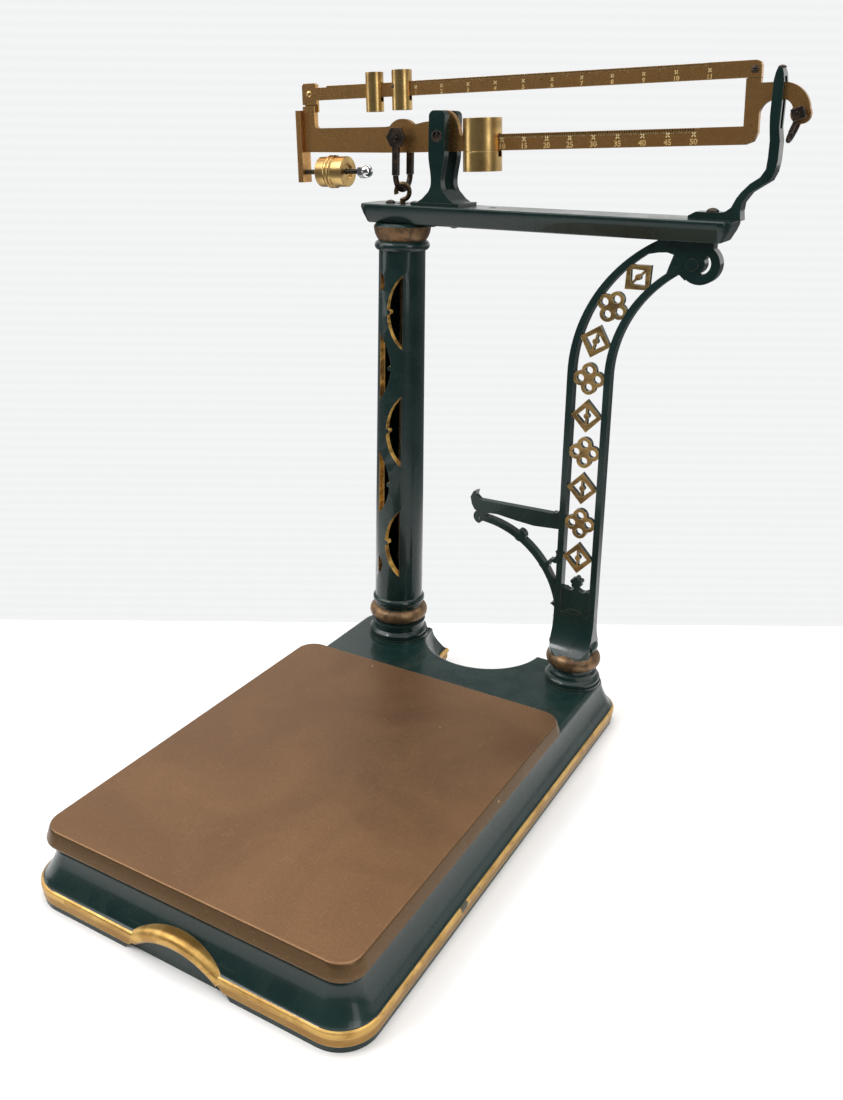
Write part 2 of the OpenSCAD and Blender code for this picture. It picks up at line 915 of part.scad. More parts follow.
module stand_screws() {
    color(steel)
        for (s = [-1, 1])
            translate([fulcrum_x + stand_screw * s, post_y, shelf_under])
                rotate([180, 0, 0])
                    round_screw(2.5, 4.6, 2.6, shelf_t + 5);
}

module fulcrum_bearings() {
    color(steel)
        for (s = [-1, 1])
            translate([fulcrum_x, 0, fulcrum_z])
                upright(ear_t, s * ear_y)
                    difference() {
                        circle(r = 5);
                        knife_space();
                    }
}

module fulcrum_pivot() {
    color(steel)
        tilted()
            knife_y(-ear_y - ear_t / 2 + 0.5, ear_y + ear_t / 2 - 0.5);
}

// Top edge of a bar with notches, from right to left
function notched(start, pitch, count, top, depth) = [for (i = [count : -1 : 0], k = [0 : 1])
    [start + (i + k * -0.5) * pitch, top - k * depth]];

module beam_outline() {
    polygon(concat([[bar_left, -11], [-60, -13.2], [-40, bar_low], [strut_out - 9, bar_low + 0.3],
        [strut_out - 3, bar_low + 2.5], [strut_out, bar_low + 9], [strut_out, upper_high - 4],
        [strut_out - 1.2, upper_high - 1.2], [strut_out - 4, upper_high], [strut_in, upper_high],
        [strut_in, bar_high]], notched(notch_start, notch_pitch, notch_count, bar_high, 0.8),
        [[notch_start - 4, bar_high], [15, 6], [13, 12.5], [9.5, 18], [5, 21.3], [-1, 22], [-5, 20], [-9, 15.5],
            [-14, 13], [-20, 12.5], [-28, 11], [-36, 12], [-60, 9.5],
        [-136, 10.5], [-138, 12.5], [-138, 30.5], [bar_left, 30.5]]));
    intersection() {
        translate([-load_arm, 0])
            circle(r = 16);
        translate([-load_arm - 20, bar_low])
            square([40, 40]);
    }
    translate([strut_out - 2, 19.7])
        square([nose_c[0] - strut_out + 2, 11.8]);
    translate(nose_c)
        ring_part(nose_ring[0], nose_ring[1], 90, -12);
    translate([nose_arm, 8.2])
        circle(r = 7.4);
    difference() {
        translate([strut_out - 2, 8])
            square([12, 13]);
        translate([strut_out + 10.4, 8.4])
            circle(r = 10.4);
    }
}

module beam() {
    color(brass)
        tilted()
            difference() {
                union() {
                    flat(beam_t)
                        beam_outline();
                    flat(2, 2)
                        translate([bar_left, 25])
                            square([15, 25]);
                }
                flat(5, lap_y - 2.5)
                    translate([strut_in - 5, upper_low - 0.5])
                        square([20, 15]);
                for (u = [0, -load_arm])
                    translate([u, 0, 0])
                        knife_y(-5, 5);
                translate([nose_arm, 0, 8.2])
                    bar_y(2.6, -5, 5);
                translate([strut_out - 5, 0, 41.5])
                    bar_y(1.6, -5, 5);
                translate([bar_left + 8, 0, 41.5])
                    bar_y(1.6, -5, 5);
                translate([0, 0, rod_w + 36])
                    bar_x(1.6, bar_left - 1, bar_left + 10);
            }
}

bar_front = -beam_t / 2;

module upper_bar() {
    t = lap_y - bar_front;
    color(brass)
        tilted()
            difference() {
                flat(t, (lap_y + bar_front) / 2) {
                    polygon(concat([[bar_left, 32], [bar_left + 16, 32], [bar_left + 16, upper_low],
                        [strut_in - 5, upper_low], [strut_out, upper_low], [strut_out, upper_high - 4],
                        [strut_out - 1.2, upper_high - 1.2], [strut_out - 4, upper_high]],
                        notched(fine_u - fine_r + 10, 1.6175, 168, upper_high, 0.5),
                        [[bar_left + 28, upper_high], [bar_left + 28, upper_high - 1.2], [bar_left + 16, upper_high - 1.2],
                        [bar_left + 16, 49], [bar_left + 14, 51], [bar_left + 2, 51], [bar_left, 49]]));
                }
                translate([strut_out - 5, 0, 41.5])
                    bar_y(1.6, -5, 5);
                translate([bar_left + 8, 0, 41.5])
                    bar_y(1.6, -5, 5);
            }
}

module bar_screws() {
    color(steel)
        tilted()
            for (u = [bar_left + 8, strut_out - 5])
                translate([u, bar_front, 41.5])
                    rotate([90, 0, 0])
                        round_screw(1.5, 3, 1.6, 5.5);
}

module load_pivot() {
    color(steel)
        tilted()
            translate([-load_arm, 0, 0])
                knife_y(-17.5, 17.5);
}

// Stirrup that hangs on a pivot: two eyes, two legs and a round bottom
module stirrup(half, drop, wire, eye_r, leg_w) {
    for (s = [-1, 1]) {
        flat(4, s * half)
            difference() {
                union() {
                    circle(r = eye_r, $fn = 6);
                    translate([-leg_w / 2, -drop + half])
                        square([leg_w, drop - half - eye_r / 2]);
                }
                children();
            }
    }
    translate([0, 0, -drop + half])
        rotate([0, 90, 0])
            rotate([0, 0, -90])
                rotate_extrude(angle = 180)
                    translate([half, 0])
                        circle(r = wire, $fn = 32);
}

module load_clevis() {
    color(steel)
        translate([column_x, post_y, load_z])
            stirrup(13, clevis_drop, 2.6, 9.5, 6)
                knife_space(-1);
}

// Rod from the beam's clevis down the column to the long lever
module steelyard_rod() {
    wire = 2.2;
    ring = 7;
    top = hook_z + 2.6 + 0.1 - ring + wire;
    color(steel)
        translate([column_x, post_y, 0]) {
            translate([0, 0, top])
                rotate([90, 0, 0])
                    rotate([0, 0, -90])
                        rotate_extrude(angle = 290)
                            translate([ring, 0])
                                circle(r = wire, $fn = 24);
            translate([0, 0, lever_z + 12])
                cylinder(r = wire + 0.4, h = top - ring - lever_z - 11);
            rotate([0, 0, 90])
                rotate([90, 0, 0])
                    linear_extrude(height = 6, center = true)
                        difference() {
                            translate([-8, lever_z - knife - 5])
                                square([16, knife + 19]);
                            translate([0, lever_z])
                                polygon([[0, -knife - knife_gap], [5, -0.2], [5, 9], [-5, 9], [-5, -0.2]]);
                        }
        }
}

module hanger_plate() {
    color(brass)
        tilted()
            difference() {
                translate([hanger_u + 1, -7, -39])
                    cube([hanger_t, 14, 66]);
                translate([0, 0, rod_w])
                    bar_x(2.5, hanger_u - 1, hanger_u + 10);
                translate([0, 0, rod_w + 36])
                    bar_x(1.6, hanger_u - 1, hanger_u + 10);
            }
}

module hanger_screw() {
    color(steel)
        tilted()
            translate([hanger_u + 1, 0, rod_w + 36])
                rotate([0, -90, 0])
                    round_screw(1.5, 3.2, 1.8, 13);
}

module balance_rod() {
    color(steel)
        tilted()
            translate([0, 0, rod_w])
                bar_x(2.5, hanger_u + 1, acorn_u + 6);
}

module balance_weight() {
    color(bright_brass)
        tilted()
            translate([0, 0, rod_w])
                difference() {
                    union() {
                        bar_x(balance_r, weight_u, weight_u + weight_l);
                        bar_x(balance_r + 1.3, weight_u + 9.5, weight_u + 17.5);
                    }
                    bar_x(2.56, weight_u - 1, weight_u + weight_l + 1);
                    bar_x(7, weight_u + weight_l - 2, weight_u + weight_l + 1);
                }
}

module acorn_nut() {
    color(chrome)
        tilted()
            translate([0, 0, rod_w])
                difference() {
                    union() {
                        translate([acorn_u, 0, 0])
                            rotate([0, 90, 0])
                                cylinder(r = 6.4, h = 5.5, $fn = 6);
                        translate([acorn_u + 7, 0, 0])
                            sphere(r = 6);
                    }
                    bar_x(2.5, acorn_u - 1, acorn_u + 6);
                }
}

// Round poise with a slot for its bar
module poise(r, low, high, slot_low, slot_high, slot_half, slot_y) {
    difference() {
        translate([0, slot_y, low])
            cylinder(r = r, h = high - low, $fn = 96);
        translate([-r - 1, slot_y - slot_half, slot_low])
            cube([2 * r + 2, 2 * slot_half, slot_high - slot_low]);
    }
}

module large_poise() {
    seam = poise_low + 0.37 * (poise_high - poise_low);
    color(bright_brass)
        tilted()
            translate([poise_u, 0, 0])
                difference() {
                    poise(poise_r, poise_low, poise_high, bar_low - 5, bar_high + slot_gap,
                        beam_t / 2 + slot_gap, 0);
                    rotate_extrude($fn = 96)
                        translate([poise_r - 0.35, seam])
                            square([2, 0.6]);
                }
}

small_slot = (lap_y - bar_front) / 2 + slot_gap;
small_y = (lap_y + bar_front) / 2;

module tare_poise() {
    color(bright_brass)
        tilted()
            translate([tare_u, 0, 0])
                poise(tare_r, small_low - 0.6, small_high - 0.6, upper_low - 4, upper_high + slot_gap,
                    small_slot, small_y);
}

module fine_poise() {
    color(bright_brass)
        tilted()
            translate([fine_u, 0, 0])
                difference() {
                    poise(fine_r, small_low, small_high, upper_low - 4, upper_high + slot_gap,
                        small_slot, small_y);
                    translate([-5, 0, 44]) {
                        bar_y(1.3, -12, -2);
                        bar_y(2.1, -12, -7.6);
                    }
                }
}

module poise_screw() {
    color(steel)
        tilted()
            translate([fine_u - 5, -7.6, 44])
                rotate([90, 0, 0])
                    round_screw(1.3, 2, 1.2, 3.5);
}

module nose_pivot() {
    color(steel)
        tilted()
            translate([nose_arm, 0, 8.2]) {
                bar_y(2.6, -10, 10);
                bar_y(1.5, -13.5, -9);
            }
}

module nose_nut() {
    color(steel)
        tilted()
            translate([nose_arm, 0, 8.2])
                flat(3, -11.5)
                    difference() {
                        rotate(20)
                            square([9, 9], center = true);
                        circle(r = 1.5);
                    }
}

nose_z = fulcrum_z + nose_arm * sin(beam_tilt) + 8.2 * cos(beam_tilt);
nose_x = fulcrum_x + nose_arm * cos(beam_tilt) - 8.2 * sin(beam_tilt);
loop_tilt = 20;

module counterpoise_loop() {
    color(steel)
        translate([nose_x, post_y, nose_z])
            rotate([0, loop_tilt, 0])
                stirrup(6.4, 21, 1.6, 5, 3)
                    circle(r = 2.7);
}

// Trig loop that limits the beam's swing, on a bent arm
trig_t = 7.6;
trig_y = 7.6;
trig_slot_x = -1.2;
trig_low = fulcrum_z + 9;
trig_high = fulcrum_z + 46.5;

module trig_stand() {
    left = trig_screw_x - 17.5 - trig_x;
    front = trig_slot_x - trig_t / 2;
    back = trig_slot_x + trig_t / 2;
    color(green)
        difference() {
            translate([trig_x, 0, 0]) {
                upright(2 * trig_y)
                    polygon(concat([for (p = [[left, 0], [left, 2.5], [left + 6, 5.8], [-36, 5.8], [-31.5, 6.5], [-27, 10],
                        [-23.8, 17], [-20.4, 22], [-14.4, 28.5], [-7.4, 33.5], [-3.8, 39.5], [-3.2, 48]])
                        [p[0], shelf_top + p[1]]],
                        [for (p = [[-3.2, 0], [front + 0.6, 10], [front, 18], [front, 43], [front + 1, 49],
                        [trig_slot_x - 1.5, 52.5], [trig_slot_x + 1.5, 52.5], [back - 1, 49], [back, 43], [back, 10],
                        [4.3, 0]]) [p[0], fulcrum_z + p[1]]],
                        [for (p = [[4.3, 46], [3.1, 37.7], [0.2, 31], [-6.7, 26.4], [-13.7, 21.6], [-18.9, 13.9],
                        [-19.7, 7], [-18.8, 0]]) [p[0], shelf_top + p[1]]]));
            }
            translate([trig_x, post_y, (trig_low + trig_high) / 2])
                cube([20, 2 * trig_y - 7.6, trig_high - trig_low], center = true);
            translate([trig_screw_x, post_y, shelf_top - 1])
                cylinder(r = 2.6, h = 8);
            translate([trig_x + trig_slot_x, post_y, trig_high - 1])
                cylinder(r = 1.6, h = 8);
        }
}

module trig_screw() {
    color(steel)
        translate([trig_screw_x, post_y, shelf_top + 5.8])
            round_screw(2.5, 5, 3, shelf_t + 12.5);
}

module trig_knob() {
    color(steel)
        translate([trig_x + trig_slot_x, post_y, fulcrum_z + 52.5])
            round_screw(1.5, 3, 2, 5);
}

base();
base_bearings();
platform();
platform_bearings();
long_lever();
long_lever_pivots();
short_lever();
short_lever_pivots();
lever_link();
column();
bracket();
foot_bolts();
shelf();
shelf_screws();
fulcrum_stand();
stand_screws();
fulcrum_bearings();
fulcrum_pivot();
beam();
upper_bar();
bar_screws();
load_pivot();
load_clevis();
steelyard_rod();
hanger_plate();
hanger_screw();
balance_rod();
balance_weight();
acorn_nut();
large_poise();
tare_poise();
fine_poise();
poise_screw();
nose_pivot();
nose_nut();
counterpoise_loop();
trig_stand();
trig_screw();
trig_knob();
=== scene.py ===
# Counter scale with a cast base, two posts and a double brass beam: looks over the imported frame
import json
import math

import bmesh
import bpy
from mathutils import Matrix, Vector

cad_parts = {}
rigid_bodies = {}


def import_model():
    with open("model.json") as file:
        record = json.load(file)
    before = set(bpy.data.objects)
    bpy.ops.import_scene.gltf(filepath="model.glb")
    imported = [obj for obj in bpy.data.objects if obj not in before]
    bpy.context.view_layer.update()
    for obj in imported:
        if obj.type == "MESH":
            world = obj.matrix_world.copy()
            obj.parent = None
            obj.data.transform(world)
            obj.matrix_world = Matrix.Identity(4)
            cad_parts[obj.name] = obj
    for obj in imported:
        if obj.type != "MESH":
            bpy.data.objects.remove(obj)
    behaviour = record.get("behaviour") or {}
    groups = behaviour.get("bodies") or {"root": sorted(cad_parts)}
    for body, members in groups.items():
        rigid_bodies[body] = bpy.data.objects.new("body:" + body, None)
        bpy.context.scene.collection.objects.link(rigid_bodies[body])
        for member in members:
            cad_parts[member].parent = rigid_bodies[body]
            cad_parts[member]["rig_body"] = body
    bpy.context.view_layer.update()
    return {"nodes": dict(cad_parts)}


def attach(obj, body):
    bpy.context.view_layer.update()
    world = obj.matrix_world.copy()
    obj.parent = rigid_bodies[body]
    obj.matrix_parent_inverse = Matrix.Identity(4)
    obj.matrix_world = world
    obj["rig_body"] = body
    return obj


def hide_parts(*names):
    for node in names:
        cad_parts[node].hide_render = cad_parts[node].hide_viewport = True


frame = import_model()
mm = 0.001

# Places shared by the pieces, in mm
place = {
    "midX": -30, "postY": 202, "columnX": -116, "bracketX": 76, "cutoutY": 231,
    "fulcrum": (-73, 202, 538), "tilt": 2.2,
}
beamFrame = Matrix.Translation(Vector(place["fulcrum"])) @ Matrix.Rotation(math.radians(-place["tilt"]), 4, "Y")


def beamPoint(u, y, w):
    return beamFrame @ Vector((u, y, w))


# Node helpers

def setMany(tree, node, values):
    for key, value in values.items():
        if isinstance(value, bpy.types.NodeSocket):
            tree.links.new(value, node.inputs[key])
        else:
            node.inputs[key].default_value = value


def addNode(tree, kind, values=None, **settings):
    made = tree.nodes.new(kind)
    for name, value in settings.items():
        setattr(made, name, value)
    setMany(tree, made, values or {})
    return made


def maths(tree, operation, a, b=0.0, clamp=False):
    return addNode(tree, "ShaderNodeMath", {0: a, 1: b}, operation=operation, use_clamp=clamp).outputs[0]


def ramp(tree, value, low, high, toLow=0.0, toHigh=1.0):
    made = addNode(tree, "ShaderNodeMapRange", {"Value": value, "From Min": low, "From Max": high,
                   "To Min": toLow, "To Max": toHigh}, interpolation_type="SMOOTHSTEP")
    return made.outputs["Result"]


def mixColour(tree, factor, a, b):
    return addNode(tree, "ShaderNodeMix", {0: factor, 6: a, 7: b}, data_type="RGBA").outputs[2]


def noise(tree, vector, size, detail=3.0, roughness=0.55, distortion=0.0):
    made = addNode(tree, "ShaderNodeTexNoise", {"Vector": vector, "Detail": detail, "Roughness": roughness,
                   "Distortion": distortion})
    if isinstance(size, bpy.types.NodeSocket):
        tree.links.new(maths(tree, "DIVIDE", 1.0, size), made.inputs["Scale"])
    else:
        made.inputs["Scale"].default_value = 1 / (size * mm)
    return made.outputs[0]


def stretched(tree, vector, scale, turn=(0, 0, 0)):
    turned = addNode(tree, "ShaderNodeMapping", {"Vector": vector, "Rotation": [math.radians(a) for a in turn]})
    return addNode(tree, "ShaderNodeMapping", {"Vector": turned.outputs[0], "Scale": scale}).outputs[0]


# Node group with named inputs, each a title, a kind and a value, and outputs of one kind

def newGroup(name, inputs, outputs, treeKind="ShaderNodeTree", outputKind="NodeSocketFloat"):
    tree = bpy.data.node_groups.new(name, treeKind)
    for title, kind, value in inputs:
        socket = tree.interface.new_socket(title, in_out="INPUT", socket_type=kind)
        if value is not None:
            socket.default_value = value
    for title in outputs:
        tree.interface.new_socket(title, in_out="OUTPUT", socket_type=outputKind)
    return tree, tree.nodes.new("NodeGroupInput").outputs, tree.nodes.new("NodeGroupOutput")


def useGroup(tree, group, values):
    made = tree.nodes.new("ShaderNodeGroup")
    made.node_tree = group
    setMany(tree, made, values)
    return made.outputs


def newGrowth(name, inputs):
    return newGroup(name, inputs, ["Geometry"], "GeometryNodeTree", "NodeSocketGeometry")


def endGrowth(tree, source, result, shape):
    real = addNode(tree, "GeometryNodeRealizeInstances", {0: shape})
    coated = addNode(tree, "GeometryNodeSetMaterial", {"Geometry": real.outputs[0], "Material": source["Finish"]})
    tree.links.new(coated.outputs[0], result.inputs["Geometry"])
    return tree


# Effects that several finishes share

# Worn patches along edges, and a plain line along every edge that the finishes mix in as a painted highlight
def buildEdgeWearAndHighlight():
    tree, source, result = newGroup("edgeWearAndHighlight", [("Vector", "NodeSocketVector", None),
        ("Reach", "NodeSocketFloat", 0.001), ("Amount", "NodeSocketFloat", 0.5),
        ("Patch", "NodeSocketFloat", 0.004)], ["Mask", "EdgeHighlight"])
    rounded = addNode(tree, "ShaderNodeBevel", {"Radius": source["Reach"]}, samples=4)
    flat = tree.nodes.new("ShaderNodeNewGeometry")
    across = addNode(tree, "ShaderNodeVectorMath", {0: rounded.outputs[0], 1: flat.outputs["Normal"]},
                     operation="DOT_PRODUCT").outputs["Value"]
    edge = ramp(tree, maths(tree, "SUBTRACT", 1.0, across), 0.01, 0.16)
    patchy = noise(tree, source["Vector"], source["Patch"], 5.0, 0.65)
    low = maths(tree, "SUBTRACT", 0.95, source["Amount"])
    made = maths(tree, "MULTIPLY", edge, patchy)
    level = maths(tree, "ADD", made, maths(tree, "MULTIPLY", edge, 0.35))
    tree.links.new(ramp(tree, level, low, maths(tree, "ADD", low, 0.18)), result.inputs["Mask"])
    tree.links.new(edge, result.inputs["EdgeHighlight"])
    return tree


def buildCastSkin():
    tree, source, result = newGroup("castSkin", [("Vector", "NodeSocketVector", None),
        ("Grain", "NodeSocketFloat", 0.001)], ["Blotch", "Grain", "Height"])
    size = source["Grain"]
    fine = noise(tree, source["Vector"], size, 3.0, 0.6)
    middle = noise(tree, source["Vector"], maths(tree, "MULTIPLY", size, 5.0), 2.0, 0.5)
    broad = noise(tree, source["Vector"], maths(tree, "MULTIPLY", size, 40.0), 4.0, 0.6, 0.6)
    height = maths(tree, "ADD", maths(tree, "MULTIPLY", fine, 0.35), maths(tree, "MULTIPLY", middle, 0.65))
    tree.links.new(ramp(tree, broad, 0.3, 0.7), result.inputs["Blotch"])
    tree.links.new(ramp(tree, fine, 0.3, 0.7), result.inputs["Grain"])
    tree.links.new(height, result.inputs["Height"])
    return tree


def buildScratches():
    tree, source, result = newGroup("fineScratches", [("Vector", "NodeSocketVector", None),
        ("Length", "NodeSocketFloat", 0.02), ("Amount", "NodeSocketFloat", 0.5)], ["Mask"])
    total = None
    for turn in ((0, 0, 24), (12, 0, -52), (0, 9, 81)):
        along = stretched(tree, source["Vector"], (1, 42, 12), turn)
        lines = noise(tree, along, source["Length"], 1.0, 0.4, 0.25)
        line = ramp(tree, lines, 0.755, 0.80)
        total = line if total is None else maths(tree, "MAXIMUM", total, line)
    tree.links.new(maths(tree, "MULTIPLY", total, source["Amount"]), result.inputs["Mask"])
    return tree


def buildSpeckle():
    tree, source, result = newGroup("speckle", [("Vector", "NodeSocketVector", None),
        ("Spacing", "NodeSocketFloat", 0.02), ("Radius", "NodeSocketFloat", 0.04)], ["Mask"])
    scale = maths(tree, "DIVIDE", 1.0, source["Spacing"])
    bent = addNode(tree, "ShaderNodeTexNoise", {"Vector": source["Vector"], "Scale": 900.0})
    moved = addNode(tree, "ShaderNodeVectorMath", {0: bent.outputs[1], 1: (0.0006, 0.0006, 0.0006)},
                    operation="MULTIPLY")
    spot = addNode(tree, "ShaderNodeVectorMath", {0: source["Vector"], 1: moved.outputs[0]}, operation="ADD")
    cells = addNode(tree, "ShaderNodeTexVoronoi", {"Vector": spot.outputs[0], "Scale": scale})
    pick = addNode(tree, "ShaderNodeSeparateColor", {0: cells.outputs["Color"]}).outputs[0]
    limit = maths(tree, "MULTIPLY", source["Radius"], maths(tree, "POWER", pick, 3.0))
    inside = maths(tree, "SUBTRACT", limit, cells.outputs["Distance"])
    tree.links.new(ramp(tree, inside, 0.0, 0.01), result.inputs["Mask"])
    return tree


def buildDust():
    tree, source, result = newGroup("settledDust", [("Vector", "NodeSocketVector", None),
        ("Amount", "NodeSocketFloat", 0.3)], ["Mask"])
    flat = tree.nodes.new("ShaderNodeNewGeometry")
    up = addNode(tree, "ShaderNodeSeparateXYZ", {0: flat.outputs["Normal"]}).outputs["Z"]
    patch = noise(tree, source["Vector"], 14, 5.0, 0.7)
    nook = addNode(tree, "ShaderNodeAmbientOcclusion", {"Distance": 0.009}, samples=4).outputs["AO"]
    corner = maths(tree, "SUBTRACT", 1.0, nook)
    lying = maths(tree, "MULTIPLY", ramp(tree, up, 0.3, 0.95), ramp(tree, patch, 0.35, 0.75))
    both = maths(tree, "ADD", maths(tree, "MULTIPLY", lying, 0.6), maths(tree, "MULTIPLY", corner, 0.8))
    tree.links.new(maths(tree, "MULTIPLY", both, source["Amount"], True), result.inputs["Mask"])
    return tree


def buildTurned():
    tree, source, result = newGroup("toolLines", [("Vector", "NodeSocketVector", None),
        ("Pitch", "NodeSocketFloat", 0.0004)], ["Height"])
    rough = noise(tree, source["Vector"], source["Pitch"], 2.0, 0.7)
    tree.links.new(rough, result.inputs["Height"])
    return tree


edgeWearAndHighlight = buildEdgeWearAndHighlight()
castSkin = buildCastSkin()
fineScratches = buildScratches()
speckle = buildSpeckle()
settledDust = buildDust()
toolLines = buildTurned()


def newPaint(name):
    made = bpy.data.materials.new(name)
    made.use_nodes = True
    tree = made.node_tree
    tree.nodes.clear()
    return made, tree, tree.nodes.new("ShaderNodeTexCoord").outputs["Object"]


def newFinish(name):
    made, tree, where = newPaint(name)
    shader = tree.nodes.new("ShaderNodeBsdfPrincipled")
    addNode(tree, "ShaderNodeOutputMaterial", {"Surface": shader.outputs[0]})
    return made, tree, shader, where


def setBump(tree, shader, height, depth, strength=1.0):
    bump = addNode(tree, "ShaderNodeBump", {"Height": height, "Distance": depth * mm, "Strength": strength})
    tree.links.new(bump.outputs[0], shader.inputs["Normal"])


def darker(colour, share):
    return [c * share for c in colour[:3]] + [1]


# Finishes

enamelLook = {"colour": (0.0052, 0.0180, 0.0165, 1), "light": (0.0080, 0.0255, 0.0225, 1),
              "edge": (0.026, 0.055, 0.047, 1), "chip": (0.085, 0.075, 0.055, 1), "dust": (0.045, 0.060, 0.052, 1)}


def greenEnamel():
    made, tree, shader, where = newFinish("greenEnamel")
    skin = useGroup(tree, castSkin, {"Vector": where, "Grain": 1.1 * mm})
    wearAndHighlight = useGroup(tree, edgeWearAndHighlight, {"Vector": where, "Reach": 0.9 * mm, "Amount": 0.22, "Patch": 5 * mm})
    dust = useGroup(tree, settledDust, {"Vector": where, "Amount": 0.11})
    chips = useGroup(tree, speckle, {"Vector": where, "Spacing": 30 * mm, "Radius": 0.045})
    scratch = useGroup(tree, fineScratches, {"Vector": where, "Length": 16 * mm, "Amount": 0.35})
    body = mixColour(tree, skin["Blotch"], enamelLook["colour"], enamelLook["light"])
    # Painted highlight: enamelLook edge puts a lighter green line along every edge
    edged = mixColour(tree, maths(tree, "MULTIPLY", wearAndHighlight["EdgeHighlight"], 0.5), body, enamelLook["edge"])
    bare = maths(tree, "MAXIMUM", wearAndHighlight["Mask"], maths(tree, "MULTIPLY", chips["Mask"], 0.7))
    chipped = mixColour(tree, bare, edged, enamelLook["chip"])
    dusty = mixColour(tree, dust["Mask"], chipped, enamelLook["dust"])
    matt = maths(tree, "ADD", dust["Mask"], scratch["Mask"])
    rough = maths(tree, "ADD", ramp(tree, skin["Blotch"], 0, 1, 0.20, 0.32), maths(tree, "MULTIPLY", bare, 0.3))
    rough = maths(tree, "ADD", rough, maths(tree, "MULTIPLY", matt, 0.35))
    setMany(tree, shader, {"Base Color": dusty, "Roughness": rough, "IOR": 1.33,
            "Coat Weight": 0.30, "Coat Roughness": 0.07})
    setBump(tree, shader, skin["Height"], 0.16, 0.5)
    return made


giltLook = {"bright": (0.64, 0.40, 0.120, 1), "deep": (0.40, 0.225, 0.058, 1), "under": (0.014, 0.030, 0.026, 1),
            "lowerTone": (0.26, 0.135, 0.040, 1), "edge": (0.92, 0.68, 0.28, 1), "dust": (0.06, 0.035, 0.016, 1),
            "topAt": (11, 18.5), "nick": (115, -96, 15.5)}


# Gilt that darkens below topAt, a pair of heights, and has one bare nick

def wornGilt(name, wear, bright, deep, shine, topAt=None, nick=None):
    made, tree, shader, where = newFinish(name)
    skin = useGroup(tree, castSkin, {"Vector": where, "Grain": 0.9 * mm})
    wearAndHighlight = useGroup(tree, edgeWearAndHighlight, {"Vector": where, "Reach": 1.0 * mm, "Amount": wear, "Patch": 7 * mm})
    dust = useGroup(tree, settledDust, {"Vector": where, "Amount": 0.45})
    chips = useGroup(tree, speckle, {"Vector": where, "Spacing": 9 * mm, "Radius": 0.16})
    streaks = noise(tree, stretched(tree, where, (1, 1, 2)), 24, 5.0, 0.6, 0.8)
    tone = mixColour(tree, ramp(tree, streaks, 0.38, 0.62), deep, bright)
    if topAt:
        height = addNode(tree, "ShaderNodeSeparateXYZ", {0: where}).outputs["Z"]
        uneven = maths(tree, "ADD", height, maths(tree, "MULTIPLY", streaks, 4 * mm))
        tone = mixColour(tree, ramp(tree, uneven, topAt[0] * mm, topAt[1] * mm, 0.75, 0.0), tone, giltLook["lowerTone"])
    toned = mixColour(tree, maths(tree, "MULTIPLY", skin["Grain"], 0.25), tone, deep)
    # Painted highlight: giltLook edge puts a pale gold line along every edge
    edged = mixColour(tree, maths(tree, "MULTIPLY", wearAndHighlight["EdgeHighlight"], 0.8), toned, giltLook["edge"])
    patchy = noise(tree, where, 11, 5.0, 0.72, 0.3)
    gone = maths(tree, "MAXIMUM", ramp(tree, patchy, 0.72, 0.76), chips["Mask"])
    if nick:
        away = addNode(tree, "ShaderNodeVectorMath", {0: where, 1: [v * mm for v in nick]}, operation="DISTANCE")
        frayed = maths(tree, "MULTIPLY", noise(tree, where, 2.5, 3.0), 3 * mm)
        ragged = maths(tree, "ADD", away.outputs["Value"], frayed)
        gone = maths(tree, "MAXIMUM", gone, ramp(tree, ragged, 7 * mm, 6.4 * mm))
    dark = maths(tree, "MULTIPLY", gone, 0.9)
    shown = mixColour(tree, dark, edged, giltLook["under"])
    dusty = mixColour(tree, dust["Mask"], shown, giltLook["dust"])
    metal = ramp(tree, maths(tree, "MAXIMUM", dark, dust["Mask"]), 0, 1, shine, 0.05)
    setMany(tree, shader, {"Base Color": dusty, "Metallic": metal, "IOR": 1.45,
            "Roughness": ramp(tree, skin["Blotch"], 0, 1, 0.28, 0.42)})
    sunk = maths(tree, "MULTIPLY", gone, 0.3)
    setBump(tree, shader, maths(tree, "SUBTRACT", skin["Height"], sunk), 0.30, 0.8)
    return made


bronzeLook = {"dark": (0.176, 0.094, 0.046, 1), "warm": (0.222, 0.120, 0.056, 1), "edge": (0.80, 0.58, 0.33, 1),
              "side": (0.125, 0.074, 0.034, 1), "spot": (0.52, 0.36, 0.18, 1),
              "grain": (0.080, 0.038, 0.020, 1), "fleck": (0.30, 0.18, 0.095, 1)}


